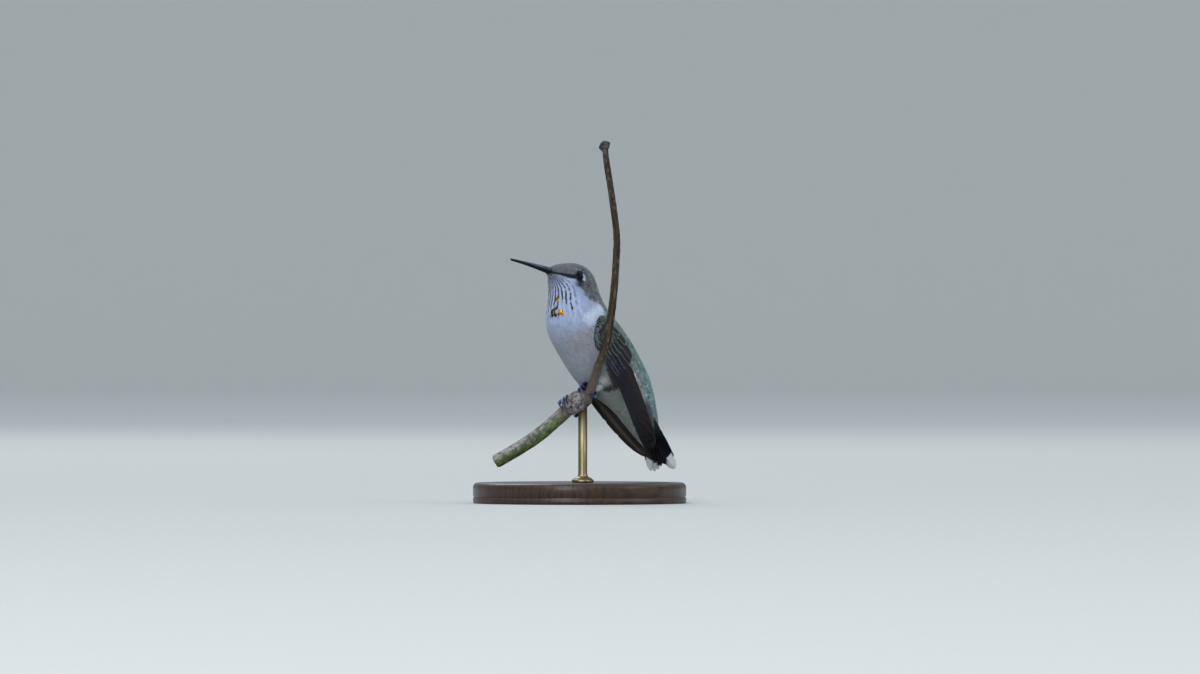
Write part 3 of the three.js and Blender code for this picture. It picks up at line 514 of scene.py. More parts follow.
class Coat:
    """Feathers that grow from the body's skin, gathered into one mesh."""

    def __init__(self, surface=body, depth=COAT_DEPTH, folds=fold, unwrapped=unwrap):
        self.surface, self.depth, self.folds, self.unwrapped = surface, depth, folds, unwrapped
        self.points, self.faces, self.colours, self.bake, self.barb, self.normals = [], [], [], [], [], []
        self.count = 0

    def add(self, points, faces, colours, bake, barb, normals):
        self.faces.append(faces + self.count)
        self.count += len(points)
        for held, new in zip((self.points, self.colours, self.bake, self.barb, self.normals),
                             (points, colours, bake, barb, normals)):
            held.append(new)

    def feathers(self, t, a, length, width, lie, tip, middle, edge, tips, barbs, rng, soft=1.0, swell=0.4,
                 streak=0.0, lines=(-1, 0, 1), blade=ROUND, relief=1.0):
        """Blades from their roots at t, a. lie turns them sideways, tip is how high their ends stand, swell
        how slowly they rise, streak how far the middle's colour is kept towards the tip, and relief how
        much each blade is shaded on its own."""
        count = len(t)
        ts, rings = [t], [a]
        for _ in range(NODES - 1):
            per_t, per_a = frame_on(self.surface, ts[-1], rings[-1])[4:]
            next_t, next_a = onward(ts[-1], rings[-1], STRIDE * length, lie, per_t, per_a)
            ts.append(next_t)
            rings.append(next_a)
        ts, rings = np.stack(ts, -1), np.stack(rings, -1)
        each = np.arange(count)
        depth = stops(self.depth, t)
        streak = np.broadcast_to(streak, (count,))[:, None]

        def put(share, across, height):
            """Places for arrays of count x anything; share along, across in mm, height over the outside."""
            place = np.clip(share / STRIDE, 0, NODES - 1.001)
            low = place.astype(int)
            rest = place - low
            index = each[:, None]
            tt = ts[index, low] * (1 - rest) + ts[index, low + 1] * rest
            aa = rings[index, low] * (1 - rest) + rings[index, low + 1] * rest
            per_a = frame_on(self.surface, tt, aa)[5]
            point, out, tail, side = frame_on(self.surface, tt, aa + across / per_a)[:4]
            return point + out * (height + self.folds(point))[..., None], out, tail, side

        shares = np.broadcast_to(blade[:, 0], (count, len(blade)))
        half = 0.5 * width[:, None] * blade[:, 1]

        def level(share):
            return -depth[:, None] + (depth + tip)[:, None] * share**swell

        def slope(share):
            rise = swell * (depth + tip)[:, None] * np.maximum(share, 0.15) ** (swell - 1)
            return np.clip(rise / length[:, None], 0, 0.4)

        rows, shades, slants = [], [], []
        for across in lines:
            height = level(shares) - across**2 * 0.16 * half + (1 - across**2) * 0.05
            point, out, tail, side = put(shares, across * half, height)
            rows.append(point)
            slants.append(out - relief * (tail * slope(shares)[..., None] - side * (0.4 * across)))
            inner = abs(across) < 0.9
            shade = np.repeat((middle if inner else edge)[:, None], len(blade), 1)
            kept = streak * inner
            shade = mix(shade, edge[:, None], smooth(shares, 0.6, 0.95) * (1 - kept) * inner)
            shade = mix(shade, tips[:, None], smooth(shares, 0.72 + 0.18 * kept, 1.0) * (1 - 0.5 * kept))
            # painted shade: each blade is darkened towards its root, by up to 0.28 times relief
            shades.append(shade * (1 - 0.28 * relief * (1 - smooth(shares, 0, 0.5)))[..., None])
        points = np.stack(rows, 2).reshape(-1, 3)
        shades = np.stack(shades, 2).reshape(-1, 3)
        slants = np.stack(slants, 2).reshape(-1, 3)
        wide = len(lines)
        ring = grid_faces(len(blade), wide)
        last = wide * (len(blade) - 1)
        inner = range(1, wide - 1)
        ends = [[0, i, i + 1] for i in inner] + [[last, last + i + 1, last + i] for i in inner]
        flat = np.concatenate([ring[:, [2, 1, 0]], ring[:, [3, 2, 0]], ends])
        size = wide * len(blade)
        faces = (flat[None] + (each * size)[:, None, None]).reshape(-1, 3)
        root = self.unwrapped(t, a)
        local = np.stack([np.tile(0.5 * np.array(lines), len(blade)), np.repeat(blade[:, 0] - 0.5, wide)], -1)
        bake = (root[:, None] + PATCH * local[None]).reshape(-1, 2)
        barb = np.stack([half[..., None] * np.abs(lines), np.repeat(
            (shares * length[:, None])[..., None], wide, -1)], -1).reshape(-1, 2)
        self.add(points, faces, shades, bake, barb, slants)
        # loose barbs along the outer half of each edge and round the tip
        slot = (np.arange(barbs) + 0.5) / barbs * 2 - 1
        turn = slot[None] + rng.uniform(-0.08, 0.08, (count, barbs))
        share = 1.0 - 0.55 * np.abs(turn) ** 1.3
        reach = np.interp(share, blade[:, 0], blade[:, 1]) * 0.5 * width[:, None]
        across = np.sign(turn) * reach * np.minimum(1, np.abs(turn) * 2.2)
        long = soft * width[:, None] * rng.uniform(0.14, 0.36, (count, barbs))
        fan_out = turn * 0.6 + rng.uniform(-0.12, 0.12, (count, barbs))
        thick = 0.035 * width[:, None] + 0 * turn
        rise = level(share) - 0.16 * np.abs(across)
        share_in = share - 0.12
        tip_share = share + long * np.cos(fan_out) / length[:, None]
        tip_across = across + long * np.sin(fan_out)
        corners = [
            put(share_in, across * 0.8 - thick, rise),
            put(share_in, across * 0.8 + thick, rise),
            put(share_in, across * 0.8, rise + 0.06),
            put(np.minimum(tip_share, 1.24), tip_across, rise + rng.uniform(-0.03, 0.07, (count, barbs))),
        ]
        points = np.stack([c[0] for c in corners], 2).reshape(-1, 3)
        slants = np.stack([c[1] - 0.25 * relief * c[2] for c in corners], 2).reshape(-1, 3)
        tint = mix(edge[:, None], tips[:, None], smooth(share, 0.7, 0.95))
        tint = np.repeat((tint * rng.uniform(0.9, 1.1, (count, barbs, 1)))[:, :, None], 4, 2).reshape(-1, 3)
        base = 4 * np.arange(count * barbs)[:, None, None]
        faces = (base + np.array([[0, 2, 1], [0, 1, 3], [1, 2, 3], [2, 0, 3]])[None]).reshape(-1, 3)
        spot = root[:, None, None] + PATCH * np.stack(
            [np.stack([0.5 * np.sign(turn) * np.minimum(1, np.abs(turn) * 2), share - 0.5], -1)] * 4, 2)
        along = np.repeat((share * length[:, None])[..., None], 4, -1)
        barb = np.stack([np.repeat(np.abs(across)[..., None], 4, -1), along], -1).reshape(-1, 2)
        self.add(points, faces, tint, spot.reshape(-1, 2), barb, slants)

    def piece(self, name, look):
        points, faces, colours, bake, barb, normals = (np.concatenate(held) for held in (
            self.points, self.faces, self.colours, self.bake, self.barb, self.normals))
        mesh_piece(name, points, [faces], look, colours, bake, barb, normals)


# Width of a contour feather at each station, and its length in widths.
SIZES = [(0, 0.3), (2, 0.36), (4, 0.42), (6, 0.52), (8, 0.66), (10, 0.82), (13, 0.98), (16, 1.12), (18, 1.3),
         (20, 1.2)]
LENGTHS = [(0, 1.6), (4, 1.6), (8, 1.9), (12, 2.1), (16, 2.2), (20, 2.1)]
ROOTS = {"first": 0.12, "last": 19.3, "apart": 0.6, "samples": 48}  # apart in widths
THROAT = {"first": 0.5, "last": 8.2, "angle": 1.9, "column": 0.1}
EYE_RINGS = {"first": 1.14, "last": 2.9, "step": 0.19, "width": 0.27}


def throat_share(t, a):
    angle = np.abs(wrapped(a))
    return (angle > THROAT["angle"]) & (t > THROAT["first"]) & (t < THROAT["last"])


def rows_of_roots(rng):
    """Roots in staggered rows round the body, from the bill to the tail."""
    t, found, row = ROOTS["first"], [], 0
    samples = ROOTS["samples"]
    angles = circle(samples, -PI)
    while t < ROOTS["last"]:
        size = stops(SIZES, t)
        per_t, per_a = body_frame(np.full(samples, t), angles)[4:]
        count = max(10, int(per_a.mean() * 2 * PI / (ROOTS["apart"] * size)))
        # equal steps round the section, measured along it
        run = np.concatenate([[0], np.cumsum(np.concatenate([per_a, per_a[:1]])[:-1])])
        run = run / run[-1]
        even = (np.arange(count) + 0.5 * (row % 2)) / count
        a = np.interp(even, run, np.linspace(-PI, PI, samples + 1))
        found.append(np.stack([np.full(count, t), a], -1))
        t += ROOTS["apart"] * size / per_t.mean()
        row += 1
    found = np.concatenate(found)
    per_t, per_a = body_frame(found[:, 0], found[:, 1])[4:]
    size = stops(SIZES, found[:, 0])
    found[:, 0] += rng.uniform(-0.22, 0.22, len(found)) * size / per_t
    found[:, 1] += rng.uniform(-0.22, 0.22, len(found)) * size / per_a
    return found[:, 0], found[:, 1]


def eye_distance(t, a):
    """Distance of a place of the body from the line of sight of the nearer eye."""
    place = body(t, a)
    return np.where(place[..., 0] < HEAD_END, sight_distance(place), FAR_FROM_EYE)


def shorten_at_eye(t, a, lie, length):
    """Feathers that point at an eye end on its lids."""
    for _ in range(4):
        per_t, per_a = body_frame(t, a)[4:]
        end, mid = (eye_distance(*onward(t, a, part * length, lie, per_t, per_a)) for part in (1, 0.5))
        length = np.where((end < 1.22) | (mid < 1.22), length * 0.72, length)
    return length


def rings_round_eyes():
    """Roots in rings round both eyes, and how their feathers turn away from the eye."""
    fine_t, fine_a = (v.ravel() for v in np.meshgrid(np.linspace(2, 7.4, 300), np.linspace(0.5, 2.6, 300)))
    look, level, rise = eye_axes(RIGHT)
    flat = body(fine_t, fine_a) - EYE
    tree = tree_of(np.stack([flat @ level, flat @ rise, 0 * fine_t], -1))
    nearest = []
    for row, reach in enumerate(np.arange(EYE_RINGS["first"], EYE_RINGS["last"], EYE_RINGS["step"])):
        count = int(2 * PI * reach / EYE_RINGS["step"])
        for turn in (np.arange(count) + 0.5 * (row % 2)) / count * 2 * PI:
            nearest.append(tree.find((reach * math.cos(turn), reach * math.sin(turn), 0))[1])
    t, a = fine_t[nearest], fine_a[nearest]
    place, _, tail, side, _, _ = body_frame(t, a)
    away = place - EYE
    away = unit(away - (away @ look)[:, None] * look)
    turned = tail + 1.1 * smooth((away * tail).sum(-1), -0.7, 0.2)[:, None] * away
    lie = np.arctan2((turned * side).sum(-1), (turned * tail).sum(-1))
    return np.concatenate([t, t]), np.concatenate([a, -a]), np.concatenate([lie, -lie])


rng = np.random.default_rng(20)
t, a = rows_of_roots(rng)
keep = ~throat_share(t, a) & (eye_distance(t, a) > EYE_RINGS["last"] - 0.05)
t, a = t[keep], a[keep]
width, lie = stops(SIZES, t), np.zeros(len(t))
ring_t, ring_a, ring_lie = rings_round_eyes()
keep = ~throat_share(ring_t, ring_a)
ring_t, ring_a, ring_lie = ring_t[keep], ring_a[keep], ring_lie[keep]
ring_width = np.full(len(ring_t), EYE_RINGS["width"]) * (0.7 + 0.12 * eye_distance(ring_t, ring_a))
width = np.concatenate([width, ring_width])
t, a, lie = np.concatenate([t, ring_t]), np.concatenate([a, ring_a]), np.concatenate([lie, ring_lie])
count = len(t)
width = width * rng.uniform(0.9, 1.12, count)
lie = lie + rng.normal(0, 0.09, count)
length = shorten_at_eye(t, a, lie, stops(LENGTHS, t) * width * rng.uniform(0.9, 1.12, count))
per_t, per_a = body_frame(t, a)[4:]
middle, edge, upper = markings(*onward(t, a, 0.55 * length, lie, per_t, per_a), rng.normal(0, 0.035, count))
patchy = np.array([noise.noise(Vector(p)) + 0.6 * noise.noise(Vector(p * 2.3)) for p in body(t, a) * 0.85])
patches = 0.12 + 0.5 * upper * smooth(t, 2, 8) + 0.12 * upper + 0.45 * smooth(t, 14.3, 16) * (1 - upper)
shade = (1 + rng.normal(0, 1, count) * (0.025 + 0.045 * upper) + patchy * patches)[:, None]
middle, edge = middle * shade * rng.normal(1, 0.015, (count, 3)), edge * shade
tips = mix(edge, edge * 1.06, 1 - upper)
tip = np.where(t < 7, 0.04, 0.07) + rng.uniform(-0.03, 0.06, count)
tip = np.where(eye_distance(t, a) < EYE_RINGS["last"], tip * 0.5, tip)
above, left = upper > 0.5, np.sin(a) < 0
FIVE = (-1, -0.52, 0, 0.52, 1)
CROWN = {"soft": 0.8, "swell": 0.42, "streak": 0.8, "lines": FIVE}
BACK = {"soft": 0.8, "swell": 0.45, "streak": 0.85, "lines": FIVE}
SOFT = {"soft": 2.6, "swell": 0.26, "blade": POINTED, "relief": 0.4}
for name, chosen, look, barbs, settings in (
    ("coat_crown_left", (t <= 8.4) & above & left, soft_look, 6, CROWN),
    ("coat_crown_right", (t <= 8.4) & above & ~left, soft_look, 6, CROWN),
    ("coat_face", (t <= 8.4) & ~above, soft_look, 10, {**SOFT, "soft": 1.6}),
    ("coat_breast_left", (t > 8.4) & (t <= 12.2) & ~above & left, soft_look, 14, SOFT),
    ("coat_breast_right", (t > 8.4) & (t <= 12.2) & ~above & ~left, soft_look, 14, SOFT),
    ("coat_belly", (t > 12.2) & ~above, soft_look, 14, {**SOFT, "streak": 0.3}),
    ("coat_back_left", (t > 8.4) & above & left, shiny_look, 8, BACK),
    ("coat_back_right", (t > 8.4) & above & ~left, shiny_look, 8, BACK),
):
    coat = Coat()
    rest = [values[chosen] for values in (t, a, length, width, lie, tip, middle, edge, tips)]
    coat.feathers(*rest, barbs, rng, **settings)
    coat.piece(name, look)

# throat: columns of small feathers, pale ones and between them narrow dusky ones that make dotted lines
rng = np.random.default_rng(31)
coat = Coat()
t_here = THROAT["first"]
throat_t, throat_a, dusky = [], [], []
half = int((PI - THROAT["angle"]) / THROAT["column"])
while t_here < THROAT["last"]:
    for lines, dark in ((0, 0.0), (1, 1.0)):
        columns = np.arange(-half, half + 1)
        columns = columns[columns % 2 == lines]
        throat_a.append(PI + columns * THROAT["column"])
        throat_t.append(np.full(len(columns), t_here + 0.12 * dark))
        dusky.append(np.full(len(columns), dark))
    per_t, per_a = body_frame(np.array([t_here]), np.array([PI - 0.5]))[4:]
    t_here += 1.15 * THROAT["column"] * max(per_a[0], 2.6) / per_t[0]
throat_t, throat_a, dusky = (np.concatenate(v) for v in (throat_t, throat_a, dusky))
count = len(throat_t)
per_t, per_a = body_frame(throat_t, throat_a)[4:]
throat_t = throat_t + rng.uniform(-0.07, 0.07, count)
throat_a = throat_a + rng.uniform(-0.02, 0.02, count) * (1 - 0.3 * dusky)
outer = smooth(np.abs(throat_a - PI), 0.45, 0.9)
fade = smooth(-throat_t, -7.4, -5.0 + 0.8 * outer) * (1 - 0.2 * outer)
strength = np.clip(rng.uniform(0.75, 1.2, count), 0, 1)
lined = dusky * strength * np.where(rng.random(count) < 0.25 + 0.75 * fade, 1, 0.2)
lined = lined * smooth(-throat_t, -8.1, -7.0) * (1 - 0.75 * smooth(np.abs(throat_a - PI), 0.95, 1.2))
width = THROAT["column"] * np.maximum(per_a, 2.4) * np.where(dusky > 0, 1.06 - 0.12 * outer, 2.3)
width = width * rng.uniform(0.85, 1.15, count)
length = width * np.where(dusky > 0, 2.6, 1.5)
middle, edge, _ = markings(throat_t + 0.3, throat_a)
middle = mix(middle, "1a1e1a", 0.97 * lined)
edge = mix(edge, "343a38", 0.85 * lined)
shade = rng.normal(1, 0.03, count)[:, None]
tip = rng.uniform(0.0, 0.05, count) + 0.06 * dusky
coat.feathers(throat_t, throat_a, length, width, rng.normal(0, 0.05, count), tip, middle * shade,
              edge * shade, mix(edge, middle, 0.7 * lined) * shade, 10, rng, soft=1.2, swell=0.3,
              streak=lined, blade=POINTED, relief=0.5)
coat.piece("coat_throat", soft_look)

# the first grown feathers of the adult's throat: station, angle, width, colours of the middle and the tip
GEMS = [
    (5.1, -2.99, 1.2, "5c3a10", "38220a"), (5.2, -2.82, 1.35, "d0a322", "9a6a14"),
    (5.0, -2.9, 0.9, "8a5a16", "6b400f"), (6.95, -3.14, 1.4, "2b2a12", "12110a"),
    (7.1, -3.0, 1.45, "5a561c", "201f10"), (6.6, -2.9, 1.2, "4a3b1e", "2a1d14"),
    (7.45, -3.1, 1.25, "2a2812", "100f0a"), (7.5, -2.93, 1.2, "4a3a16", "1c150c"),
    (6.75, -3.02, 1.1, "46401a", "1b180d"), (7.0, -2.7, 1.4, "dcb120", "cf7a18"),
    (7.35, -2.63, 1.4, "cc8018", "b5480f"), (7.45, -2.78, 1.1, "8f5416", "4a280d"),
]
gem_t, gem_a, width = (np.array([gem[i] for gem in GEMS]) for i in range(3))
gem_middle, gem_tip = (np.array([colour(gem[i]) for gem in GEMS]) for i in (3, 4))
coat = Coat()
coat.feathers(gem_t, gem_a, 1.35 * width, width, np.zeros(len(GEMS)), np.full(len(GEMS), 0.16), gem_middle,
              mix(gem_middle, gem_tip, 0.5), gem_tip, 6, rng, soft=0.4, swell=0.3, streak=0.6, lines=FIVE)
coat.piece("coat_gorget", gem_look)


# ------------------------------------------------------------------ skin

ROWS, SIDES = 190, 120
t = np.linspace(0, LAST, ROWS)[:, None] + np.zeros((1, SIDES))
a = np.zeros((ROWS, 1)) + circle(SIDES, -PI)[None]
place, out = body_frame(t, a)[:2]
skin_points = (place + out * (fold(place) - stops(COAT_DEPTH, t) * 0.92)[..., None]).reshape(-1, 3)
middle, edge, _ = markings(t, a)
# painted shade: the skin under the coat takes the plumage's colours, darkened to 0.8
skin_colours = (mix(middle, edge, 0.4) * 0.8).reshape(-1, 3)
skin_points, skin_colours = with_middles(skin_points, SIDES), with_ends(skin_colours)
quads = grid_faces(ROWS, SIDES)[:, ::-1]
ends = end_fans(ROWS, SIDES, True)
flat_t = np.concatenate([t.ravel(), [0, LAST]])
flat_a = np.concatenate([a.ravel(), [0, 0]])
uv = []
for faces in (quads, *ends):
    corner = unwrap(flat_t[faces], flat_a[faces])
    wide = np.ptp(corner[..., 0], axis=1) > 0.5
    corner[..., 0] += SPAN * (wide[:, None] & (corner[..., 0] < 0.5))
    uv.append(corner.reshape(-1, 2))
skin = Look("skin_down", Roughness=0.9, Specular_IOR_Level=0.15)
down = skin.noise(skin.coordinates(), 2600, 3)
skin.bump(down, 0.12 * MM, 0.8)
skin.mottle(down, 0.72)
mesh_piece("skin", skin_points, [quads, *ends], skin.material, colours=skin_colours,
           bake=np.concatenate(uv), replaces=("head", "neck", "torso"))

# ------------------------------------------------------------------ eyes and lids

# by the angle from the line of sight
EYE_COLOURS = shaded((0, "020203"), (0.44, "020203"), (0.5, "0f0a08"), (0.62, "0c0807"), (0.72, "050406"),
                     (PI, "0b0b10"))
eye_look = Look("eye", Roughness=0.05, Specular_IOR_Level=0.5, IOR=1.36, Specular_Tint=(0.45, 0.62, 1.0, 1))
speckle = eye_look.noise(eye_look.coordinates(), 4000, 2)
eye_look.mottle(speckle, 0.6, 0.2, 0.8)
lid_look = Look("lid_skin", Roughness=0.5, Specular_IOR_Level=0.4)
grain = lid_look.noise(lid_look.coordinates(), 5000, 3)
lid_look.bump(grain, 0.08 * MM, 0.7)
lid_look.tint(grain, "14161d", "2b303c")
for side, suffix in BOTH:
    look, level, rise = eye_axes(side)
    centre = EYE * [1, side, 1]
    # ball with rows round the line of sight, closer together at the front
    rows, sides = 40, 48
    polar = PI * np.linspace(0, 1, rows) ** 1.25
    turn = circle(sides)
    bulge = 1 + 0.02 * hump(polar, 0, 0.75)
    ring = np.cos(turn)[:, None] * level + np.sin(turn)[:, None] * rise
    points = centre + EYE_RADIUS * bulge[:, None, None] * (
        np.cos(polar)[:, None, None] * look + np.sin(polar)[:, None, None] * ring[None])
    shade = stops(EYE_COLOURS, polar)
    shade = np.repeat(shade[:, None], sides, 1)
    quads = grid_faces(rows, sides)[:, ::-side]
    mesh_piece(f"eyeball_{suffix}", points.reshape(-1, 3), [quads], eye_look.material,
               colours=shade.reshape(-1, 3), replaces=(f"eye_{suffix}",))
    # both lids as one soft ring, thicker above, over the ball's edge
    around, tube = 72, 12
    phi = circle(around)
    theta = circle(tube)
    upper_lid = smooth(np.sin(phi), -0.2, 0.6)
    opening = np.stack([LID_RADIUS * 1.02 * np.cos(phi), LID_RADIUS * 0.9 * np.sin(phi)], -1)
    outward = unit(opening)
    thick = 0.075 + 0.03 * upper_lid + 0.01 * np.sin(phi * 23)
    sink = math.sqrt((EYE_RADIUS + 0.02) ** 2 - (0.96 * LID_RADIUS) ** 2)
    flat = opening[:, None] + outward[:, None] * (thick[:, None] * np.cos(theta))[..., None] * 1.25
    height = sink + thick[:, None] * np.sin(theta) - 0.05 * np.cos(2 * phi)[:, None]
    points = centre + flat[..., :1] * level + flat[..., 1:] * rise + height[..., None] * look
    quads = grid_faces(around, tube)
    here, beside, final = np.arange(tube), (np.arange(tube) + 1) % tube, tube * (around - 1)
    closing = np.stack([here + final, beside + final, beside, here], -1)
    quads = np.concatenate([quads, closing])[:, ::-side]
    mesh_piece(f"lids_{suffix}", points.reshape(-1, 3), [quads], lid_look.material)

# ------------------------------------------------------------------ bill

BILL = {"length": 15.4, "base": (-9.9, 0, 37.75), "rise": math.radians(15), "droop": 0.55, "root": 1.6,
        "half": 1.02, "tip": 0.29, "gap": 0.07, "lower": 0.975}
bill_up = np.array([math.sin(BILL["rise"]), 0, math.cos(BILL["rise"])])


def bill_axis(share):
    run, fall = share * BILL["length"], BILL["droop"] * np.maximum(share, 0) ** 2.4
    c, s = math.cos(BILL["rise"]), math.sin(BILL["rise"])
    return np.stack([BILL["base"][0] - run * c - fall * s, 0 * run, BILL["base"][2] + run * s - fall * c], -1)


def bill_taper(share):
    return BILL["tip"] + (1 - BILL["tip"]) * (1 - np.clip(share, 0, 1)) ** 1.42


bill_look = Look("bill_horn", Specular_IOR_Level=0.2)
streaks = bill_look.noise(bill_look.coordinates((220, 900, 900)), 1.0, 4)
bill_look.bump(streaks, 0.05 * MM, 0.5)
bill_look.mottle(streaks, 0.75)
bill_look.roughness(streaks, 0.42, 0.28)
for sign, name in ((1, "bill_upper"), (-1, "bill_lower")):
    rows, sides = 90, 28
    end = 1.0 if sign > 0 else BILL["lower"]
    share = np.linspace(-BILL["root"] / BILL["length"], end, rows)
    closing = np.clip((end - share) / 0.022, 0, 1) ** 0.5
    taper = bill_taper(share) * np.maximum(closing, 0.04)
    turn = circle(sides)
    across, rise = np.cos(turn), np.sin(turn)
    high = np.where(rise > 0, np.abs(rise) ** 0.9, 0.1 * rise)
    # the upper half carries a low ridge along its top and a groove with the nostril
    ridge = 0.1 * hump(turn, PI / 2, 0.3) if sign > 0 else 0
    depth = BILL["half"] * taper[:, None] * (high + ridge)[None]
    width = BILL["half"] * taper[:, None] * across[None] * (1 - 0.1 * np.maximum(rise, 0)[None])
    run, beside = share * BILL["length"], np.abs(across)
    nostril = hump(run, 2.3, 1.0, 4)[:, None] * hump(beside, 0.86, 0.1)[None] * (rise > 0)[None]
    if sign > 0:
        width = width * (1 - 0.3 * nostril)
        groove = hump(run, 3, 3.4, 4)[:, None] * hump(beside, 0.62, 0.13)[None] * (rise > 0)[None]
        depth = depth * (1 - 0.08 * groove)
    lift = BILL["gap"] / 2
    points = bill_axis(share)[:, None] + sign * bill_up * (depth + lift)[..., None]
    points[..., 1] += width
    # painted highlight: a blue-grey band along the side of the upper mandible, fading towards the tip
    painted_highlight = smooth(rise, 0.04, 0.3) * smooth(-rise, -0.98, -0.8) * np.ones(depth.shape) * (sign > 0)
    shade = mix("050608", "566489", 0.85 * painted_highlight * smooth(-share, -0.95, -0.3)[:, None])
    # painted shade: the nostril's dent a touch darker than the rest of the bill
    shade = mix(shade, "040405", nostril if sign > 0 else np.zeros(depth.shape))
    points, shade = with_middles(points.reshape(-1, 3), sides), with_ends(shade.reshape(-1, 3))
    faces = [grid_faces(rows, sides), *end_fans(rows, sides, False)]
    if sign > 0:
        faces = [f[:, ::-1] for f in faces]
    mesh_piece(f"{name}_horn", points, faces, bill_look.material, colours=shade, replaces=(name,))


# small feathers that lie forward over the bill's base
def bill_root(t, a):
    below = smooth(np.abs(wrapped(a)), 1.5, 2.4)
    reach = BILL["half"] * bill_taper(t / BILL["length"]) + 0.05 + 0.15 * below
    ring = np.cos(a)[..., None] * bill_up - np.sin(a)[..., None] * np.array([0, 1.0, 0])
    return bill_axis(t / BILL["length"]) + ring * reach[..., None]


BILL_COLUMNS = 26
rng = np.random.default_rng(35)
t, a = np.meshgrid(np.arange(-0.7, 0.65, 0.2), circle(BILL_COLUMNS, -PI), indexing="ij")
a = (a + (PI / BILL_COLUMNS) * (np.arange(len(t)) % 2)[:, None]).ravel() + rng.uniform(-0.05, 0.05, t.size)
t = t.ravel() + rng.uniform(-0.06, 0.06, t.size)
angle = np.abs(wrapped(a))
keep = t < 0.55 * np.cos(angle) ** 2 + 0.15
t, a, angle = t[keep], a[keep], angle[keep]
n = len(t)
shade = mix("4c4b4e", "15161c", smooth(angle, 0.7, 1.1))
shade = mix(shade, "555a66", smooth(angle, 2.0, 2.5))
shade = shade * rng.normal(1, 0.08, (n, 1))
coat = Coat(bill_root, [(0, 0.2)], no_folds,
            lambda t, a: np.stack([0.1 + 0.8 * (a % (2 * PI)) / (2 * PI), 0.5 + 0.2 * t], -1))
width = rng.uniform(0.26, 0.34, n)
coat.feathers(t, a, 2.4 * width, width, rng.normal(0, 0.1, n), rng.uniform(0.0, 0.04, n), shade,
              shade * 1.3, shade * 1.4, 6, rng, soft=1.0, blade=POINTED)
coat.piece("coat_bill_base", soft_look)

# ------------------------------------------------------------------ wings

WRIST, WING_TIP = np.array([-0.8, 19.2]), np.array([25.0, -15.9])
WING_SPREAD = np.array([[8.6], [9.5], [9.3], [8.0], [6.0], [4.0], [2.4]])
WING_CLEARANCE, WING_LEAN, WING_BLEND = 0.5, 0.28, 0.8
SHINGLE, LOWER_SHARE, TIP_SETTLE = 0.45, 0.45, 0.35
FAR_TIP = 1.6  # how much further back the right wing's tip reaches
LONG_FEATHER = [(0, 0.4), (0.1, 0.62), (0.25, 0.85), (0.45, 0.97), (0.6, 1), (0.75, 0.94), (0.84, 0.84),
                (0.91, 0.66), (0.96, 0.44), (0.99, 0.22), (1, 0.06)]
SHORT_FEATHER = [(0, 0.45), (0.25, 0.85), (0.5, 1), (0.7, 0.97), (0.84, 0.8), (0.93, 0.55), (0.98, 0.28),
                 (1, 0.08)]
# Feathers, curves of their roots and tips in the side view, widths and bows of the first and last, how far
# out they lie, outline, and colours of the middle, the edges and the end.
TIERS = {
    "primaries": (
        10, [[2.4, 13.4], [3.4, 16.6]],
        [[25.0, -15.9], [24.7, -11.6], [21.4, -5.0], [16.8, 1.2], [13.4, 5.6]],
        (3.9, 3.5), (0.75, 0.1), 0.0, LONG_FEATHER, ("0a0a0d", "474357", "08080a")),
    "secondaries": (
        6, [[1.6, 15.2], [5.4, 19.8]], [[7.4, 7.4], [10.0, 8.6], [12.0, 12.0]],
        (2.7, 2.9), (0.4, -0.1), 0.25, SHORT_FEATHER, ("0c0c12", "565a6e", "6c7086")),
    "primary_coverts": (
        4, [[0.2, 16.6], [1.0, 17.6]], [[4.6, 9.8], [6.4, 11.6]],
        (1.9, 2.1), (0.3, 0.1), 0.4, SHORT_FEATHER, ("101216", "4c4e5b", "5c5d6a")),
    "greater_coverts": (
        6, [[0.8, 17.4], [4.6, 20.8]], [[4.6, 12.0], [6.8, 13.6], [9.4, 16.6]],
        (2.3, 2.4), (0.2, -0.1), 0.5, SHORT_FEATHER, ("0f1617", "76807f", "949d9d")),
    "median_coverts": (
        6, [[-0.4, 19.0], [2.8, 22.0]], [[2.2, 15.2], [4.6, 16.8], [7.0, 19.4]],
        (1.9, 2.0), (0.1, -0.1), 0.62, SHORT_FEATHER, ("121b1a", "737f7b", "8d978f")),
    "lesser_coverts": (
        6, [[-0.8, 20.6], [1.2, 23.0]], [[1.0, 17.8], [3.0, 19.2], [4.6, 21.2]],
        (1.6, 1.7), (0, 0), 0.72, SHORT_FEATHER, ("16211e", "6d7a73", "838e86")),
}
# across its upper face, then back across its inner face, and the heights of both
VANE_LINES = np.array([-1, -0.86, -0.45, 0, 0.45, 0.86, 1, 0.86, 0.45, 0, -0.45, -0.86])
VANE_HEIGHTS = np.array([0.18, 0.21, 0.235, 0.29, 0.235, 0.21, 0.18, 0.155, 0.145, 0.14, 0.145, 0.155])
NEXT_OUT = 0.035  # how much further out each next feather of a tier lies
INNER_FACE = np.array([colour(code) for code in ("4a443e", "2a2827", "5d554b", "222122", "121214")])


def vary(seed):
    wave = math.sin(seed * 127.1 + 11.7) * 43758.5453
    return 2 * (wave - math.floor(wave)) - 1


def half_width_at(x, z):
    """Half the body's width at a place of its side view, or 0 outside it."""
    low, high = np.zeros_like(x), np.full_like(x, LAST)
    for _ in range(26):
        t = (low + high) / 2
        centre, up, _, _ = section(t)
        behind = (x - centre[..., 0]) * up[..., 1] - (z - centre[..., 1]) * up[..., 0] > 0
        low, high = np.where(behind, t, low), np.where(behind, high, t)
    centre, up, depth, half = section(low)
    along = ((x - centre[..., 0]) * up[..., 0] + (z - centre[..., 1]) * up[..., 1]) / depth
    return half * np.sqrt(np.maximum(1 - along**2, 0))


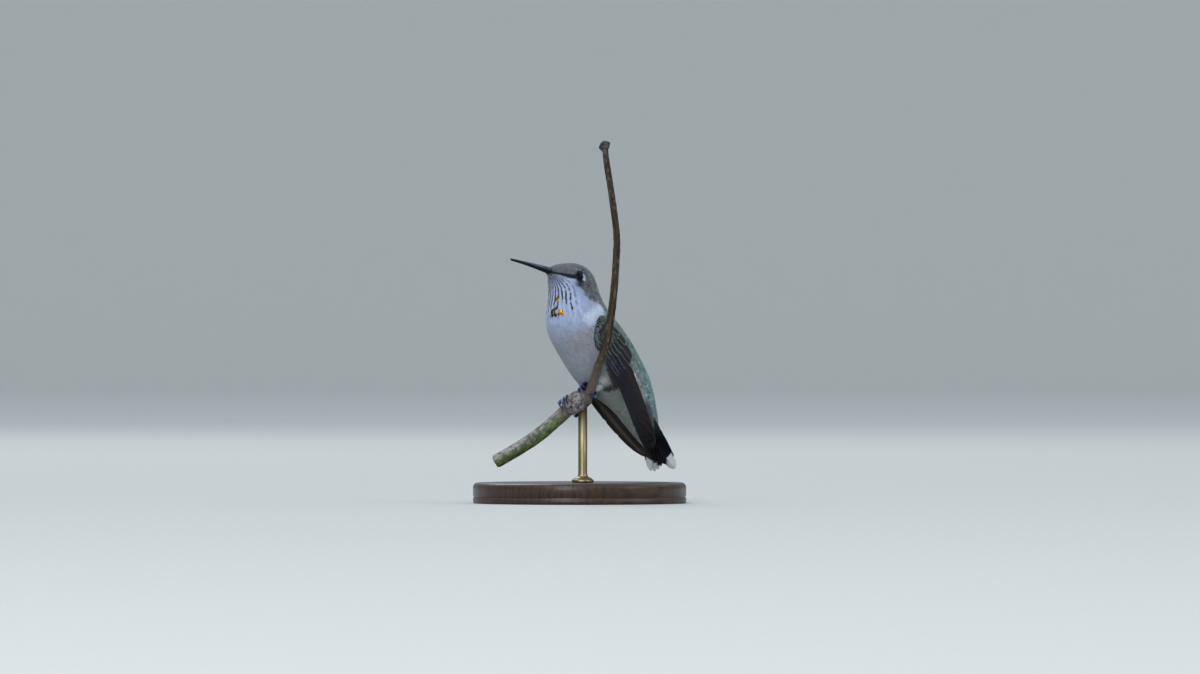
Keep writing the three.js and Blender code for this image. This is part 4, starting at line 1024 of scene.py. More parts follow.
def wing_distance(x, z):
    way = WING_TIP - WRIST
    long = np.linalg.norm(way)
    share = ((x - WRIST[0]) * way[0] + (z - WRIST[1]) * way[1]) / long**2
    above = ((z - WRIST[1]) * way[0] - (x - WRIST[0]) * way[1]) / long
    free = catmull(WING_SPREAD, np.clip(share, 0, 1) * 6)[..., 0] - WING_LEAN * above
    held = half_width_at(x, z) + WING_CLEARANCE
    return (free + held + np.hypot(free - held, WING_BLEND)) / 2


class Vanes:
    """Long feathers with a shaft and vanes, gathered into one mesh."""

    def __init__(self, islands):
        self.points, self.faces, self.colours, self.bake, self.barb = [], [], [], [], []
        self.count, self.made, self.side = 0, 0, math.ceil(math.sqrt(islands))

    def feather(self, place, outward, outline, width, length, paint, rng, rows, under=None):
        """place(share, across) is a point of its inner face, paint(share, across) its colour, and under the
        colours across its inner face."""
        share = np.linspace(0, 1, rows) ** 0.85
        outline = np.array(outline)
        reach = np.interp(share, outline[:, 0], outline[:, 1])
        across = VANE_LINES[None] * reach[:, None]
        split = rng.random((rows, 2)) < 0.12
        cut = 1 - split * rng.uniform(0.06, 0.16, (rows, 2)) * (share > 0.2)[:, None]
        across[:, 0] *= cut[:, 0]
        across[:, 6] *= cut[:, 1]
        grid_share = np.repeat(share[:, None], len(VANE_LINES), 1)
        points = place(grid_share, across)
        thin = 1 - 0.45 * share
        height = 0.2 + (VANE_HEIGHTS[None] - 0.2) * thin[:, None]
        points = points + height[..., None] * outward
        shade = paint(grid_share, np.repeat(VANE_LINES[None], rows, 0))
        if under is not None:
            shade[:, 7:] = under
        lines = len(VANE_LINES)
        last = lines * (rows - 1)
        faces = grid_faces(rows, lines)
        caps = [[[0, i + 1, i], [last, last + i, last + i + 1]] for i in range(1, lines - 1)]
        caps = np.array(caps).reshape(-1, 3)
        middle = rows // 2
        onward, sideways = points[middle + 1, 3] - points[middle, 3], points[middle, 5] - points[middle, 1]
        if np.cross(onward, sideways) @ outward > 0:
            faces, caps = faces[:, ::-1], caps[:, ::-1]
        spot = np.array([self.made % self.side, self.made // self.side]) / self.side
        local = np.stack([0.5 + 0.46 * across, 0.04 + 0.92 * grid_share], -1)
        self.faces.append((faces + self.count, caps + self.count))
        self.points.append(points.reshape(-1, 3))
        self.colours.append(shade.reshape(-1, 3))
        self.bake.append((spot + local / self.side).reshape(-1, 2))
        self.barb.append(np.stack([np.abs(across) * width / 2, grid_share * length], -1).reshape(-1, 2))
        self.count += points.shape[0] * points.shape[1]
        self.made += 1

    def piece(self, name, replaced):
        quads, ends = (np.concatenate(group) for group in zip(*self.faces))
        points, colours, bake, barb = (np.concatenate(held) for held in (
            self.points, self.colours, self.bake, self.barb))
        mesh_piece(name, points, [quads, ends], vane_look, colours, bake, barb,
                   replaces=(replaced,))


def tier_paint(codes, lower_edge, edge_from, tip_share, rng):
    """Colours of a wing feather: a dark middle, a paler line along its edges and a paler end."""
    dark, pale, end = (colour(c) for c in codes)
    tone = rng.normal(1, 0.05)

    def paint(share, across):
        rim = smooth(np.abs(across), edge_from, edge_from + 0.2) * np.where(across < 0, lower_edge, 0.55)
        shade = mix(dark, pale, rim * (0.35 + 0.65 * smooth(share, 0.0, 0.5)))
        shade = mix(shade, end, tip_share * smooth(share, 0.88, 0.97))
        shaft = (np.abs(across) < 0.05) * 0.3 * (1 - 0.6 * share)
        return mix(shade, "5e5348", shaft) * tone

    return paint


def wing(side, suffix):
    rng = np.random.default_rng(40 + side)
    vanes = Vanes(48)
    seed = 1
    for tier, (count, roots, tips, widths, bows, level, outline, codes) in TIERS.items():
        for index in range(count):
            order = index / (count - 1)
            root = catmull(roots, order * (len(roots) - 1))
            tip = catmull(tips, order * (len(tips) - 1))
            shaft = tip - root
            tip = tip + 0.015 * vary(seed) * shaft
            far = side == RIGHT and tier == "primaries"
            if side == RIGHT:
                root = root + np.array([1.1, 0.6]) * (1 - order)
                tip = tip + np.array([FAR_TIP, 0] if far else [1.0, 0.6]) * (1 - order)
            up = unit(np.array([-shaft[1], shaft[0]]))
            bow = (bows[0] + (bows[1] - bows[0]) * order) * (1 + 0.08 * vary(seed + 0.5))
            width = (widths[0] + (widths[1] - widths[0]) * order) * (1 + 0.04 * vary(seed + 0.25))

            def place(share, across):
                reach = np.where(across < 0, width * LOWER_SHARE, width * (1 - LOWER_SHARE))
                flat = root + (tip - root) * share[..., None]
                sag = bow * (9 * share**2 * (1 - share) if far else 4 * share * (1 - share))
                flat = flat + up * (across * reach - sag)[..., None]
                out = wing_distance(flat[..., 0], flat[..., 1]) + level * (1 - TIP_SETTLE * share)
                out = out + SHINGLE * (1 - across) / 2 + NEXT_OUT * index
                return np.stack([flat[..., 0], side * out, flat[..., 1]], -1)

            lower_edge, edge_from, tip_share = (0.8, 0.82, 0.2) if tier == "primaries" else (1.0, 0.72, 0.85)
            paint = tier_paint(codes, lower_edge, edge_from, tip_share, rng)
            rows = 48 if tier == "primaries" else 28
            vanes.feather(place, np.array([0, side, 0.0]), outline, width, np.linalg.norm(shaft), paint, rng,
                          rows, INNER_FACE)
            seed += 1
    vanes.piece(f"wing_feathers_{suffix}", f"wing_{suffix}")


for side, suffix in BOTH:
    wing(side, suffix)

# Small coverts over the forearm: a pad that closes onto the body's side, and a coat of its own.
WING_WAY = unit(WING_TIP - WRIST)
ARM = {"middle": (2.3, 19.9), "reach": (3.4, 5.0), "rise": 1.15, "flat": 0.55, "fall": 6.5}
PAD = {"rows": 14, "sides": 48, "sunk": 0.32, "inner": 6.0}


def arm_edge(x, z):
    """0 in the middle of the forearm's patch and 1 at its edge."""
    return np.hypot((x - ARM["middle"][0]) / ARM["reach"][0], (z - ARM["middle"][1]) / ARM["reach"][1])


def arm_fall(edge):
    return ARM["fall"] * np.maximum(edge - ARM["flat"], 0) ** 2


def arm_coat(side, suffix):
    rng = np.random.default_rng(60 + side)

    def arm(t, a):
        x = WRIST[0] + WING_WAY[0] * t + WING_WAY[1] * a * side
        z = WRIST[1] + WING_WAY[1] * t - WING_WAY[0] * a * side
        out = ARM["rise"] - arm_fall(arm_edge(x, z))
        return np.stack([x, side * (wing_distance(x, z) + out), z], -1)

    t, a = np.meshgrid(np.arange(-7, 7, 0.6), np.arange(-7, 7, 0.46), indexing="ij")
    a = a + 0.23 * (np.arange(len(t)) % 2)[:, None]
    t = t.ravel() + rng.uniform(-0.12, 0.12, t.size)
    a = a.ravel() + rng.uniform(-0.08, 0.08, a.size)
    place = arm(t, a)
    inside = arm_edge(place[:, 0], place[:, 2]) < np.where(t < 0, 1.3, 1.08)
    inside &= t < 2.8 + 2.6 * smooth(-place[:, 0], -2.6, -1.4)
    t, a = t[inside], a[inside]
    n = len(t)
    tone = rng.normal(1, 0.08, (n, 1))
    front = (rng.normal(0, 0.2, n) - arm(t + 0.5, a)[:, 0] > 0.42) & (t < 1.5)
    width = rng.uniform(0.68, 0.9, n) * (0.75 + 0.25 * smooth(t, -3, 1))
    for name, chosen, codes, look, settings in (
        ("arm", ~front, ("121816", "85918a"), shiny_look, {**BACK, "streak": 0.9}),
        ("front", front, ("444c50", "727c82"), soft_look, SOFT),
    ):
        coat = Coat(arm, [(0, 0.4)], no_folds, lambda t, a: np.stack([0.5 + 0.06 * t, 0.5 + 0.06 * a], -1))
        dark, pale = (colour(code) * tone[chosen] for code in codes)
        count = chosen.sum()
        coat.feathers(t[chosen], a[chosen], 2.5 * width[chosen], width[chosen], rng.normal(0, 0.1, count),
                      rng.uniform(0, 0.08, count), dark, pale, pale, 8, rng, **settings)
        coat.piece(f"coat_{name}_{suffix}", look)


def arm_pad(side, suffix):
    rows, sides = PAD["rows"], PAD["sides"]
    turn = circle(sides)
    reach = np.linspace(0.04, 1.12, rows)[:, None]
    x = ARM["middle"][0] + ARM["reach"][0] * reach * np.cos(turn)
    z = ARM["middle"][1] + ARM["reach"][1] * reach * np.sin(turn)
    out = wing_distance(x, z) + ARM["rise"] - PAD["sunk"] - arm_fall(reach)
    top = np.stack([x, side * out, z], -1).reshape(-1, 3)
    inner = np.array([[ARM["middle"][0], side * PAD["inner"], ARM["middle"][1]]])
    points = np.concatenate([top, top[:sides].mean(0)[None], inner])
    faces = [grid_faces(rows, sides)[:, ::-side], *end_fans(rows, sides, side > 0)]
    mesh_piece(f"wing_pad_{suffix}", points, faces, skin.material,
               colours=np.tile(colour("22292a"), (len(points), 1)))


for side, suffix in BOTH:
    arm_coat(side, suffix)
    arm_pad(side, suffix)

# ------------------------------------------------------------------ tail

TAIL_ROOT, TAIL_TIP = np.array([22.0, 0, 4.5]), np.array([31.1, 0, -20.6])
TAIL_SWING, TAIL_HIDDEN, TAIL_STEP = math.radians(5), 0.25, 0.3
TAIL_OUTLINE = [(0, 0.5), (0.3, 0.85), (0.6, 1), (0.8, 0.96), (0.89, 0.84), (0.95, 0.62),
                (0.985, 0.36), (1, 0.1)]
# degrees from the middle, reach, width, and where the white of the end starts (1: none)
TAIL_FEATHERS = [(1.2, 0.915, 4.6, 1), (4.2, 0.93, 4.5, 1), (7.3, 0.97, 4.4, 0.9), (10.4, 0.995, 4.3, 0.83),
                 (13.5, 0.985, 4.0, 0.79)]
rng = np.random.default_rng(50)
vanes = Vanes(10)
for side in (LEFT, RIGHT):
    for index, (turn, reach, width, white) in enumerate(TAIL_FEATHERS):
        along = TAIL_TIP - TAIL_ROOT
        long = np.linalg.norm(along) * (reach + 0.0075 * vary(60 + 2 * index + side))
        along = unit(along)
        up = np.array([-along[2], 0, along[0]])
        angle = side * math.radians(turn) - TAIL_SWING
        way_out = along * math.cos(angle) + np.array([0, math.sin(angle), 0])
        out = -side * np.cross(way_out, up)

        def place(share, across):
            run = long * (TAIL_HIDDEN + (1 - TAIL_HIDDEN) * share)
            return (TAIL_ROOT + way_out * run[..., None] + out * (across * width / 2)[..., None]
                    + up * (SHINGLE * across / 2 - TAIL_STEP * index)[..., None])

        tone = rng.normal(1, 0.05)

        def paint(share, across):
            base = colour("1d2525") if index < 2 else colour("2c3434")
            shade = mix(base, "060709", smooth(share, 0.3, 0.55))
            shade = mix(shade, "596070", 0.6 * smooth(np.abs(across), 0.88, 1.0))
            ragged = 0.02 * np.sin(9 * across + index)
            reached = share + ragged - 0.05 * np.abs(across)
            shade = mix(shade, "f3f8ff", smooth(reached, white - 0.012, white + 0.006))
            return shade * tone

        vanes.feather(place, up, TAIL_OUTLINE, width, long, paint, rng, 64)
vanes.piece("tail_feathers", "tail")

# ------------------------------------------------------------------ legs and feet

GRIPS = {
    LEFT: {"at": [0.6, -4.1, 3.1], "along": [0.15, -0.6, 0.78], "ankle": [0.9, 0.3, 0.0],
           "over": [-0.7, 0.5, 0.5], "radius": 1.75, "hip": [6.2, -3.8, 6.2]},
    RIGHT: {"at": [-2.5, 0.8, -1.6], "along": [0.4, -0.72, 0.56], "ankle": [0.9, 0.0, 0.45],
            "over": [0, 0, 1], "radius": 2.4, "hip": [8.0, 3.4, 4.6]},
}
TOES = [(-1.15, 180, 0.95), (0, 195, 1.05), (1.15, 175, 0.9), (0.1, -125, 1)]  # spread, turn, size
TOE_RADIUS, CLAW_SHARE, GAP = 0.5, 0.26, 0.3
TOE_SIDES, CLAW_SIDES, SHANK_SIDES = 18, 14, 20
SOLE_ROWS, SOLE_SIDES = 14, 20
TOE_STEPS = 60
foot_look = Look("foot_scutes", Specular_IOR_Level=0.5)
scales = foot_look.noise(foot_look.coordinates(), 3500, 3)
foot_look.bump(scales, 0.06 * MM, 0.6)
foot_look.mottle(scales, 0.7)
foot_look.roughness(scales, 0.45, 0.3)
claw_look = Look("claw_horn", Specular_IOR_Level=0.5)
scratch = claw_look.noise(claw_look.coordinates(), 2500, 3)
claw_look.tint(scratch, "1a1f30", "3d4768")
claw_look.roughness(scratch, 0.35, 0.22)


def grip_frame(side):
    grip = GRIPS[side]
    axis = unit(np.array(grip["along"], float))
    ankle = np.array(grip["ankle"], float)
    ankle = unit(ankle - axis * (ankle @ axis))
    over = np.cross(ankle, axis)
    over = over * np.sign(over @ np.array(grip["over"]))
    return np.array(grip["at"], float), axis, ankle, over, grip["radius"]


def ankle_point(side):
    centre, _, ankle, _, radius = grip_frame(side)
    return centre + ankle * (radius + GAP + TOE_RADIUS + 0.35)


def tube(path, radii, sides, sweep=None):
    """A closed round rod along points; radii is one for each point, or one for each point and side."""
    path = np.asarray(path, float)
    way = unit(np.gradient(path, axis=0))
    start = np.array([0, 0, 1.0]) if sweep is None else np.asarray(sweep, float)
    normal = unit(start - way[0] * (start @ way[0]))
    rings = []
    turn = circle(sides)
    radii = np.asarray(radii, float)
    if radii.ndim == 1:
        radii = np.repeat(radii[:, None], sides, 1)
    for i in range(len(path)):
        normal = unit(normal - way[i] * (normal @ way[i]))
        across = np.cross(way[i], normal)
        round_it = np.cos(turn)[:, None] * normal + np.sin(turn)[:, None] * across
        rings.append(path[i] + radii[i][:, None] * round_it)
    points = np.concatenate([*rings, path[:1], path[-1:]])
    return points, [grid_faces(len(path), sides), *end_fans(len(path), sides, False)]


def round_points(sides, rows, margin):
    """Points of a ball of radius 1 in rows from pole to pole, without the poles."""
    turn, rise = np.meshgrid(circle(sides), np.linspace(margin, PI - margin, rows))
    return np.stack([np.sin(rise) * np.cos(turn), np.sin(rise) * np.sin(turn), np.cos(rise)], -1)


def gather(parts):
    """Several closed meshes of points and faces as one."""
    points, faces, count = [], [], 0
    for part, groups in parts:
        points.append(part)
        faces.extend(group + count for group in groups)
        count += len(part)
    by_size = {}
    for group in faces:
        by_size.setdefault(group.shape[1], []).append(group)
    return np.concatenate(points), [np.concatenate(groups) for groups in by_size.values()]


for side, suffix in BOTH:
    centre, axis, ankle, over, radius = grip_frame(side)
    toes, claws, shades = [], [], []
    for spread, turn, size in TOES:
        steps = np.linspace(0, 1, TOE_STEPS + 1)
        angle = np.radians(turn) * steps
        lift = 0.12 * smooth(steps, 1 - CLAW_SHARE, 1)
        reach = (radius + GAP + TOE_RADIUS - 0.06 + lift)[:, None]
        path = centre + reach * (np.cos(angle)[:, None] * ankle + np.sin(angle)[:, None] * over)
        path = path + axis * (spread * np.minimum(1, steps * 2.2))[:, None]
        cut = int(TOE_STEPS * (1 - CLAW_SHARE)) + 1
        joint = 1 + 0.13 * np.cos(steps * 6 * PI)
        scute = 1 + 0.035 * np.abs(np.sin(steps * 40))
        outside = np.cos(circle(TOE_SIDES))
        ridges = 1 + 0.05 * (scute - 1)[:, None] / 0.035 * (outside > 0)[None]
        toe = TOE_RADIUS * 0.94 * size * joint[:, None] * ridges
        end = np.clip((steps[cut] - steps[:cut]) / 0.05, 0.0, 1) ** 0.5
        toe = toe[:cut] * (0.55 + 0.45 * end)[:, None]
        toes.append(tube(path[:cut], toe, TOE_SIDES, ankle))
        # painted highlight: each toe's outer side lighter blue, strongest on the ridges of its scutes
        rim = smooth(outside, 0.2, 1.0)[None] * (0.5 + 0.5 * np.abs(np.sin(steps[:cut] * 40)))[:, None]
        shade = mix("313a57", "7f8fb9", 0.8 * rim).reshape(-1, 3)
        shades.append(with_ends(shade))
        claw_steps = np.linspace(0, 1, 26)
        place = (cut - 4 + (63.5 - cut) * claw_steps) / TOE_STEPS
        angle = np.radians(turn) * place
        hook = radius + GAP + TOE_RADIUS + 0.1 * np.sin(PI * claw_steps) - 0.3 * claw_steps**2
        path = centre + hook[:, None] * (np.cos(angle)[:, None] * ankle + np.sin(angle)[:, None] * over)
        path = path + axis * spread
        taper = TOE_RADIUS * 0.8 * size * (1 - claw_steps) ** 0.8 * 0.9 + 0.03
        claws.append(tube(path, taper, CLAW_SIDES, ankle))
    pad = (ankle_point(side) + 0.75 * round_points(SOLE_SIDES, SOLE_ROWS, 0.08)).reshape(-1, 3)
    toes.append((pad, [grid_faces(SOLE_ROWS, SOLE_SIDES)[:, ::-1]]))
    shades.append(np.tile(colour("20242f"), (len(pad), 1)))
    points, faces = gather(toes)
    mesh_piece(f"toes_{suffix}", points, faces, foot_look.material,
               colours=np.concatenate(shades), replaces=(f"foot_{suffix}",))
    points, faces = gather(claws)
    mesh_piece(f"claws_{suffix}", points, faces, claw_look.material)
    # bare shank under a feathered thigh
    hip = np.array(GRIPS[side]["hip"])
    ankle_at = ankle_point(side)
    drop = ankle_at - hip
    share = np.linspace(0, 1, 40)
    shank = 0.55 * (1 + 1.5 * (1 - share) ** 1.5) * (0.86 - 0.04 * np.abs(np.sin(share * 30)))
    points, faces = tube(hip + drop * share[:, None], shank, SHANK_SIDES)
    shade = mix("c9ccd2", "20242f", smooth(share, 0.55, 0.8))
    shade = with_ends(np.repeat(shade, SHANK_SIDES, 0))
    mesh_piece(f"shank_{suffix}", points, faces, foot_look.material, colours=shade,
               replaces=(f"leg_{suffix}",))
    rng = np.random.default_rng(70 + side)
    long = np.linalg.norm(drop)
    down = drop / long
    level = unit(np.cross(down, [0, 0, 1.0]))
    front = np.cross(down, level)

    def thigh(t, a):
        t, a = np.broadcast_arrays(t, a)
        swell = 0.95 + 1.0 * np.maximum(1 - t / (0.85 * long), 0) ** 0.8
        ring = np.cos(a)[..., None] * level - np.sin(a)[..., None] * front
        return hip + down * t[..., None] + ring * swell[..., None]

    rows, columns = 9, 15
    t, a = np.meshgrid(np.linspace(0.2, 0.66, rows) * long, circle(columns), indexing="ij")
    a = (a + (PI / columns) * (np.arange(rows) % 2)[:, None]).ravel() + rng.uniform(-0.1, 0.1, rows * columns)
    t = t.ravel() + rng.uniform(-0.15, 0.15, rows * columns)
    n = len(t)
    tone = colour("d9dce0") * rng.normal(1, 0.05, (n, 1))
    width = rng.uniform(0.7, 0.95, n)
    coat = Coat(thigh, [(0, 0.5)], no_folds,
                lambda t, a: np.stack([0.05 + 0.9 * (a % (2 * PI)) / (2 * PI), 0.1 + 0.1 * t], -1))
    coat.feathers(t, a, 1.7 * width, width, rng.normal(0, 0.15, n), rng.uniform(-0.05, 0.1, n), tone,
                  tone, tone * 1.05, 14, rng, soft=1.3)
    coat.piece(f"coat_thigh_{suffix}", soft_look)

# ------------------------------------------------------------------ perch

KNOT, KNOT_RADIUS = np.array([-1.2, -1.5, 0]), 3.3
SWELLINGS = [([0, 0, 0], 1), ([1.0, -1.4, 0.9], 0.8), ([-1.1, 1.2, -1.1], 0.85), ([0.6, 0.9, -1.2], 0.72),
             ([-1.2, -0.6, 0.7], 0.7)]
STEM = [[-2.7, 0.9, -1.9], [-4.4, 3.2, -4.5], [-7.2, 8.5, -9.2], [-10.5, 13.8, -13.3], [-14.5, 20.2, -17.4]]
SHOOT = [[0.9, -4.5, 2.9], [0.7, -6.7, 6.4], [0.2, -9.1, 9.9], [-0.1, -11.8, 13.6], [-0.1, -13.7, 17.4],
         [0.2, -14.5, 21.4], [1.1, -15.1, 29.6], [2.0, -15.4, 40.6], [2.2, -15.4, 48.0], [1.8, -14.0, 58.0],
         [1.4, -12.0, 68.0], [1.4, -10.8, 74.0]]
BALL_ROWS, BALL_SIDES = 20, 28
STEM_ROWS, SHOOT_ROWS, VINE_SIDES = 90, 220, 20
rng = np.random.default_rng(90)


def even(points, count):
    """Points at equal steps along the smooth line through a few."""
    fine = catmull(points, np.linspace(0, len(points) - 1, 800))
    run = lengths_along(fine)
    steps = np.linspace(0, run[-1], count)
    return np.stack([np.interp(steps, run, fine[:, k]) for k in range(3)], -1)


def ball(centre, radius, stretch=(1, 1, 1)):
    flat = round_points(BALL_SIDES, BALL_ROWS, 0.06)
    points = (np.array(centre) + radius * flat * np.array(stretch)).reshape(-1, 3)
    faces = [grid_faces(BALL_ROWS, BALL_SIDES)[:, ::-1], *end_fans(BALL_ROWS, BALL_SIDES, True)]
    return with_middles(points, BALL_SIDES), faces


def values_of(items, key, kind, wide=1):
    """One property of all points or corners of a mesh, as an array."""
    found = np.zeros(wide * len(items), kind)
    items.foreach_get(key, found)
    return found.reshape(-1, wide) if wide > 1 else found


stem_line = even(STEM, STEM_ROWS)
shoot_line = even(SHOOT, SHOOT_ROWS)
share = np.linspace(0, 1, SHOOT_ROWS)
shoot_radius = 1.45 + (0.9 - 1.45) * np.sqrt(share)
parts = [tube(stem_line, np.full(STEM_ROWS, 2.0), VINE_SIDES), tube(shoot_line, shoot_radius, VINE_SIDES)]
parts += [ball(KNOT + np.array(shift), KNOT_RADIUS * size, (1, 1, 0.95)) for shift, size in SWELLINGS]
top = shoot_line[-1]
parts += [ball(top, 1.45, (1, 0.9, 1.05)), ball(top + [-1.0, 0.3, -0.4], 0.75),
          ball(top + [0.8, -0.5, 0.7], 0.7), ball(top + [0.2, 0.5, 0.95], 0.65)]
points, faces = gather(parts)
rough = mesh_piece("bark_core", points, faces, skin.material)
remesh = rough.modifiers.new("skin", "REMESH")
remesh.mode = "VOXEL"
remesh.voxel_size = 0.24 * MM
ease = rough.modifiers.new("ease", "SMOOTH")
ease.factor, ease.iterations = 0.5, 6
baked = bpy.data.meshes.new_from_object(rough.evaluated_get(bpy.context.evaluated_depsgraph_get()))
bpy.data.objects.remove(rough)
places = values_of(baked.vertices, "co", np.float32, 3) / MM - BIRD_OFFSET
out = values_of(baked.vertices, "normal", np.float32, 3)

# where each point lies along the vine and round it
line = np.concatenate([stem_line[::-1], shoot_line])
run = lengths_along(line)
tree = tree_of(line)
nearest = np.array([tree.find(p)[1] for p in places])
way = unit(np.gradient(line, axis=0))[nearest]
away = places - line[nearest]
along = run[nearest] + (away * way).sum(-1)
side_way = unit(np.cross(way, [0.3, 0.9, 0.2]))
turn = np.arctan2((away * np.cross(way, side_way)).sum(-1), (away * side_way).sum(-1))
knotty = hump(np.linalg.norm(places - KNOT, axis=1), 0, 4.6, 4)
topmost = smooth(places[:, 2], 70.5, 73.0)
stemness = smooth(-nearest.astype(float), -90, -70) * (1 - knotty)


def field(scale_along, scale_round, seed, octaves=4):
    """Noise that is long along the vine, one value for each point."""
    flat = np.stack([along * scale_along, np.cos(turn) * scale_round, np.sin(turn) * scale_round + seed], -1)
    return np.array([noise.fractal(Vector(p), 0.9, 2.1, octaves) for p in flat])


def lumps(scale, seed, octaves=4):
    return np.array([noise.fractal(Vector(p), 0.9, 2.1, octaves) for p in places * scale + seed])


furrows, grain_field, bumps = field(0.12, 2.6, 3.0), field(0.5, 5.5, 9.0, 3), lumps(0.75, 5.0)
pits = np.maximum(lumps(0.95, 21.0, 2), 0)
height = 0.06 * furrows + 0.035 * grain_field + 0.05 * bumps * (1 - knotty - topmost).clip(0, 1)
height += (knotty + topmost).clip(0, 1) * (0.2 * bumps - 0.28 * smooth(pits, 0.25, 0.6))
# small raised pores
pore_at = np.stack([rng.uniform(0, run[-1], 130), rng.uniform(-PI, PI, 130)], -1)
pore = np.zeros(len(places))
for at, angle in pore_at:
    apart = np.abs(wrapped(turn - angle)) * 1.1
    pore = np.maximum(pore, np.exp(-(((along - at) / 0.42) ** 2) - (apart / 0.2) ** 2))
pore *= 1 - knotty
height += 0.07 * pore
# rings left by old leaves
stem_end = run[STEM_ROWS - 1]
for at in (stem_end - 14.0, stem_end + 26.0, stem_end + 52.0):
    height += 0.09 * hump(along, at, 0.5) * (1 - knotty)
places = places + out * height[:, None]
brown = mix("272219", "4d4334", smooth(furrows + 0.4 * grain_field, -0.5, 0.6))
reddish = smooth(places[:, 2], 8, 24) * smooth(grain_field, -0.1, 0.5) * 0.35
brown = mix(brown, "4a3328", reddish)
brown = mix(brown, "7d7069", 0.6 * smooth(-places[:, 2], -17, -5))
grey = mix("6f6d68", "b3afa8", smooth(furrows + bumps, -0.6, 0.6))
green = mix("4f6238", "75874b", smooth(bumps, -0.4, 0.5))
stem_side = smooth(-(away * [0.3, -0.3, 1]).sum(-1) + 0.5 * furrows, -0.1, 0.6)
stem_shade = mix(grey, green, 0.9 * stem_side)
knob = mix("6e686c", "b1aab0", smooth(bumps - 0.6 * pits, -0.5, 0.35))
knob = mix(knob, "a08c78", 0.45 * smooth(furrows, 0.1, 0.5))
# the knob's pits near black: partly their own dark colour, partly painted shade in the hollows
knob = mix(knob, "1e1a1b", 0.85 * smooth(pits, 0.25, 0.6))
# painted shade: the knob is darker on its side to the camera's right, under the foot
knob = mix(knob, "2b2826", 0.85 * smooth(places @ [0.788, -0.616, 0] + 0.4 * bumps, 0.9, 2.5))
shade = mix(brown, stem_shade, stemness)
shade = mix(shade, knob, knotty)
shade = mix(shade, mix("342b2e", "685d5e", smooth(bumps, -0.4, 0.5)), topmost)
shade = mix(shade, "8d7f6a", 0.55 * pore)
shade = mix(shade, "171411", 0.35 * smooth(-grain_field, 0.25, 0.6) * (1 - knotty))
loops = values_of(baked.loops, "vertex_index", np.int32)
bark = Look("vine_bark", Specular_IOR_Level=0.25)
crust = bark.noise(bark.coordinates(), 1800, 5)
bark.bump(crust, 0.14 * MM, 0.9)
bark.mottle(crust, 0.62)
bark.roughness(crust, 0.95, 0.72)
mesh_piece("vine", places, [loops.reshape(-1, 4)], bark.material, colours=shade,
           replaces=("perch_knot", "perch_stem", "perch_shoot"))

# ------------------------------------------------------------------ stand


def lathe(name, outline, sides, look, centre, replaces):
    outline = np.array(outline, float)
    turn = circle(sides)
    rings = np.stack([outline[:, :1] * np.cos(turn), outline[:, :1] * np.sin(turn),
                      np.repeat(outline[:, 1:], sides, 1)], -1).reshape(-1, 3)
    rows = len(outline)
    points = np.concatenate([rings, [[0, 0, outline[0, 1]], [0, 0, outline[-1, 1]]]])
    faces = [grid_faces(rows, sides), *end_fans(rows, sides, True)]
    mesh_piece(name, points, faces, look, replaces=replaces, offset=np.array(centre))


wood = Look("stand_wood", Coat_Weight=0.25, Coat_Roughness=0.25, Specular_IOR_Level=0.4)
where = wood.coordinates((26, 150, 150))
warp = wood.noise(where, 1.3, 5)
rings = wood.node("ShaderNodeTexWave", wave_type="BANDS", bands_direction="Y", Scale=0.9, Distortion=6.0,
                  Detail=3.0)
wood.link(where, rings, "Vector")
pores = wood.noise(wood.coordinates((120, 1500, 1500)), 1.0, 3)
tone = wood.ramp(rings.outputs["Fac"], *shaded((0.0, "2c1a10"), (0.5, "4a2f1d"), (1.0, "3a2416")))
tone = wood.multiply(0.6, tone, wood.ramp(warp, (0.3, 0.55), (0.7, 1.0)))
wood.colour(wood.multiply(0.5, tone, wood.ramp(pores, (0.35, 0.35), (0.55, 1.0))))
wood.bump(pores, 0.06 * MM, 0.5)
wood.roughness(warp, 0.5, 0.34)
brass = Look("stand_brass", Metallic=1.0)
wear = brass.noise(brass.coordinates((400, 400, 90)), 1.0, 4)
brass.tint(wear, "7d7052", "a99a76")
brass.roughness(wear, 0.5, 0.34)
brass.bump(wear, 0.04 * MM, 0.4)

curve_in = [(31 - 1.4 + 1.4 * math.sin(x), 6 - 1.4 + 1.4 * math.cos(x)) for x in np.linspace(PI / 2, 0, 10)]
base = [(30.6, 0.0), (31.0, 0.35), (31.0, 1.6), (30.75, 1.75), (30.75, 2.05), (31.0, 2.2),
        *curve_in, (12.0, 6.0), (4.0, 6.0)]
lathe("stand_turned_base", base, 144, wood.material, (0, 0, 0), ("stand_base",))
rod_low, rod_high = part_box("stand_rod")
rod_centre = (rod_low + rod_high) / 2 / MM
foot, top = rod_low.z / MM - 0.2, rod_high.z / MM + 0.2
collar = [(3.0, 0), (3.2, 0.2), (3.2, 0.75), (3.05, 0.9), (2.75, 1.0), (2.6, 1.25), (2.1, 1.5), (1.6, 1.75),
          (1.42, 2.1), (1.3, 2.6)]
outline = [(r, foot + z) for r, z in collar] + [(1.3, foot + 4), (1.3, top)]
lathe("stand_brass_rod", outline, 64, brass.material, (rod_centre.x, rod_centre.y, 0),
      ("stand_rod",))

# ------------------------------------------------------------------ studio

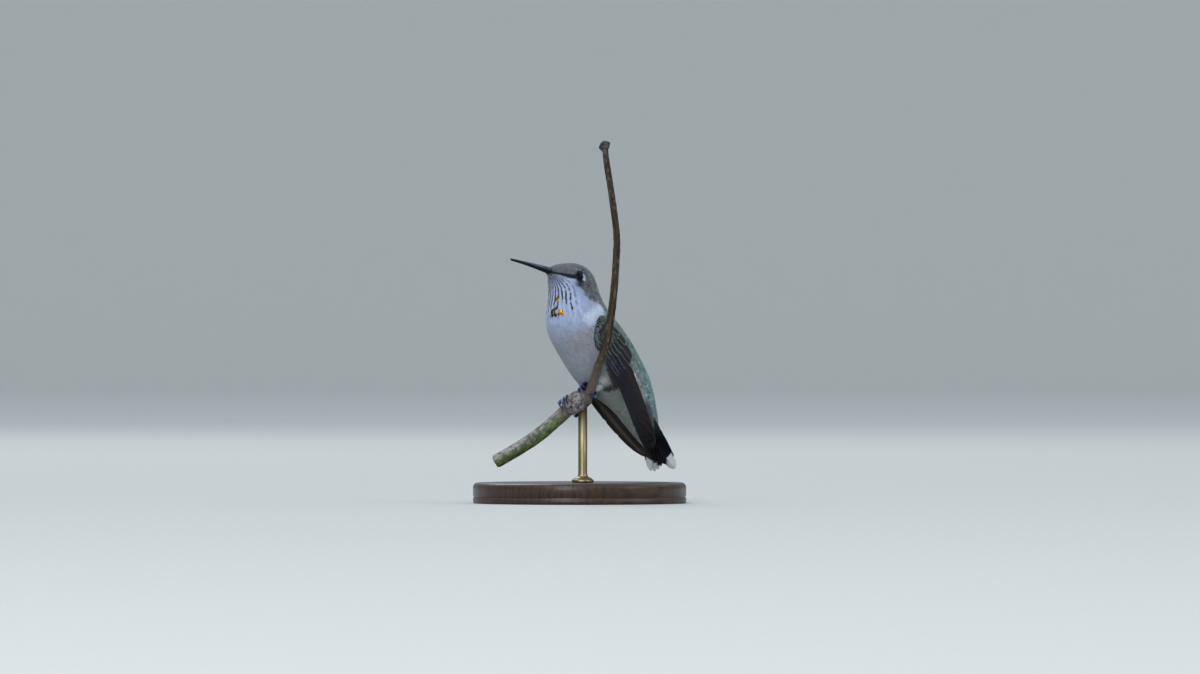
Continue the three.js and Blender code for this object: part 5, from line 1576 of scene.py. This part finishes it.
FLOOR_SIDES = 96
curve = np.linspace(0.1, PI / 2, 14)
reach = np.concatenate([[0.001], np.linspace(0.4, 6.0, 12), 6.0 + 2.0 * np.sin(curve), [8.0, 8.0]])
rise = np.concatenate([[0], np.zeros(12), 2.0 - 2.0 * np.cos(curve), [3.0, 4.5]])
turn = circle(FLOOR_SIDES)
points = np.stack([reach[:, None] * np.cos(turn), reach[:, None] * np.sin(turn),
                   np.repeat(rise[:, None], FLOOR_SIDES, 1)], -1)
paper = Look("studio_paper", Roughness=0.9, Specular_IOR_Level=0.2)
tooth = paper.noise(paper.coordinates(), 400, 2)
paper.tint(tooth, "cbcbc8", "cdcdca")
mesh = bpy.data.meshes.new("studio_floor")
mesh.from_pydata(points.reshape(-1, 3).tolist(), [], grid_faces(len(reach), FLOOR_SIDES).tolist())
mesh.polygons.foreach_set("use_smooth", np.ones(len(mesh.polygons), bool))
mesh.materials.append(paper.material)
floor = bpy.data.objects.new("studio_floor", mesh)
bpy.context.scene.collection.objects.link(floor)

world = bpy.data.worlds.new("studio")
bpy.context.scene.world = world
world.use_nodes = True
world.node_tree.nodes["Background"].inputs["Color"].default_value = (0.8, 0.9, 1.0, 1)
world.node_tree.nodes["Background"].inputs["Strength"].default_value = 0.9


def lamp(name, place, size, power, shade):
    light = bpy.data.lights.new(name, "AREA")
    light.shape, light.size, light.energy, light.color = "DISK", size, power, shade
    obj = bpy.data.objects.new(name, light)
    obj.location = place
    aim = Vector((0, 0, 0.06)) - obj.location
    obj.rotation_euler = aim.to_track_quat("-Z", "Y").to_euler()
    bpy.context.scene.collection.objects.link(obj)


lamp("key", (-1.5, -0.9, 1.7), 0.8, 12.5, (0.97, 0.98, 1.0))
lamp("front", (-2.2, -1.7, 0.35), 1.2, 22, (0.93, 0.97, 1.0))
lamp("fill", (0.9, -2.0, 0.9), 1.4, 9, (0.92, 0.96, 1.0))
lamp("back", (0.6, 1.6, 1.5), 0.9, 9, (0.95, 0.98, 1.0))
bpy.context.scene.view_settings.view_transform = "Standard"
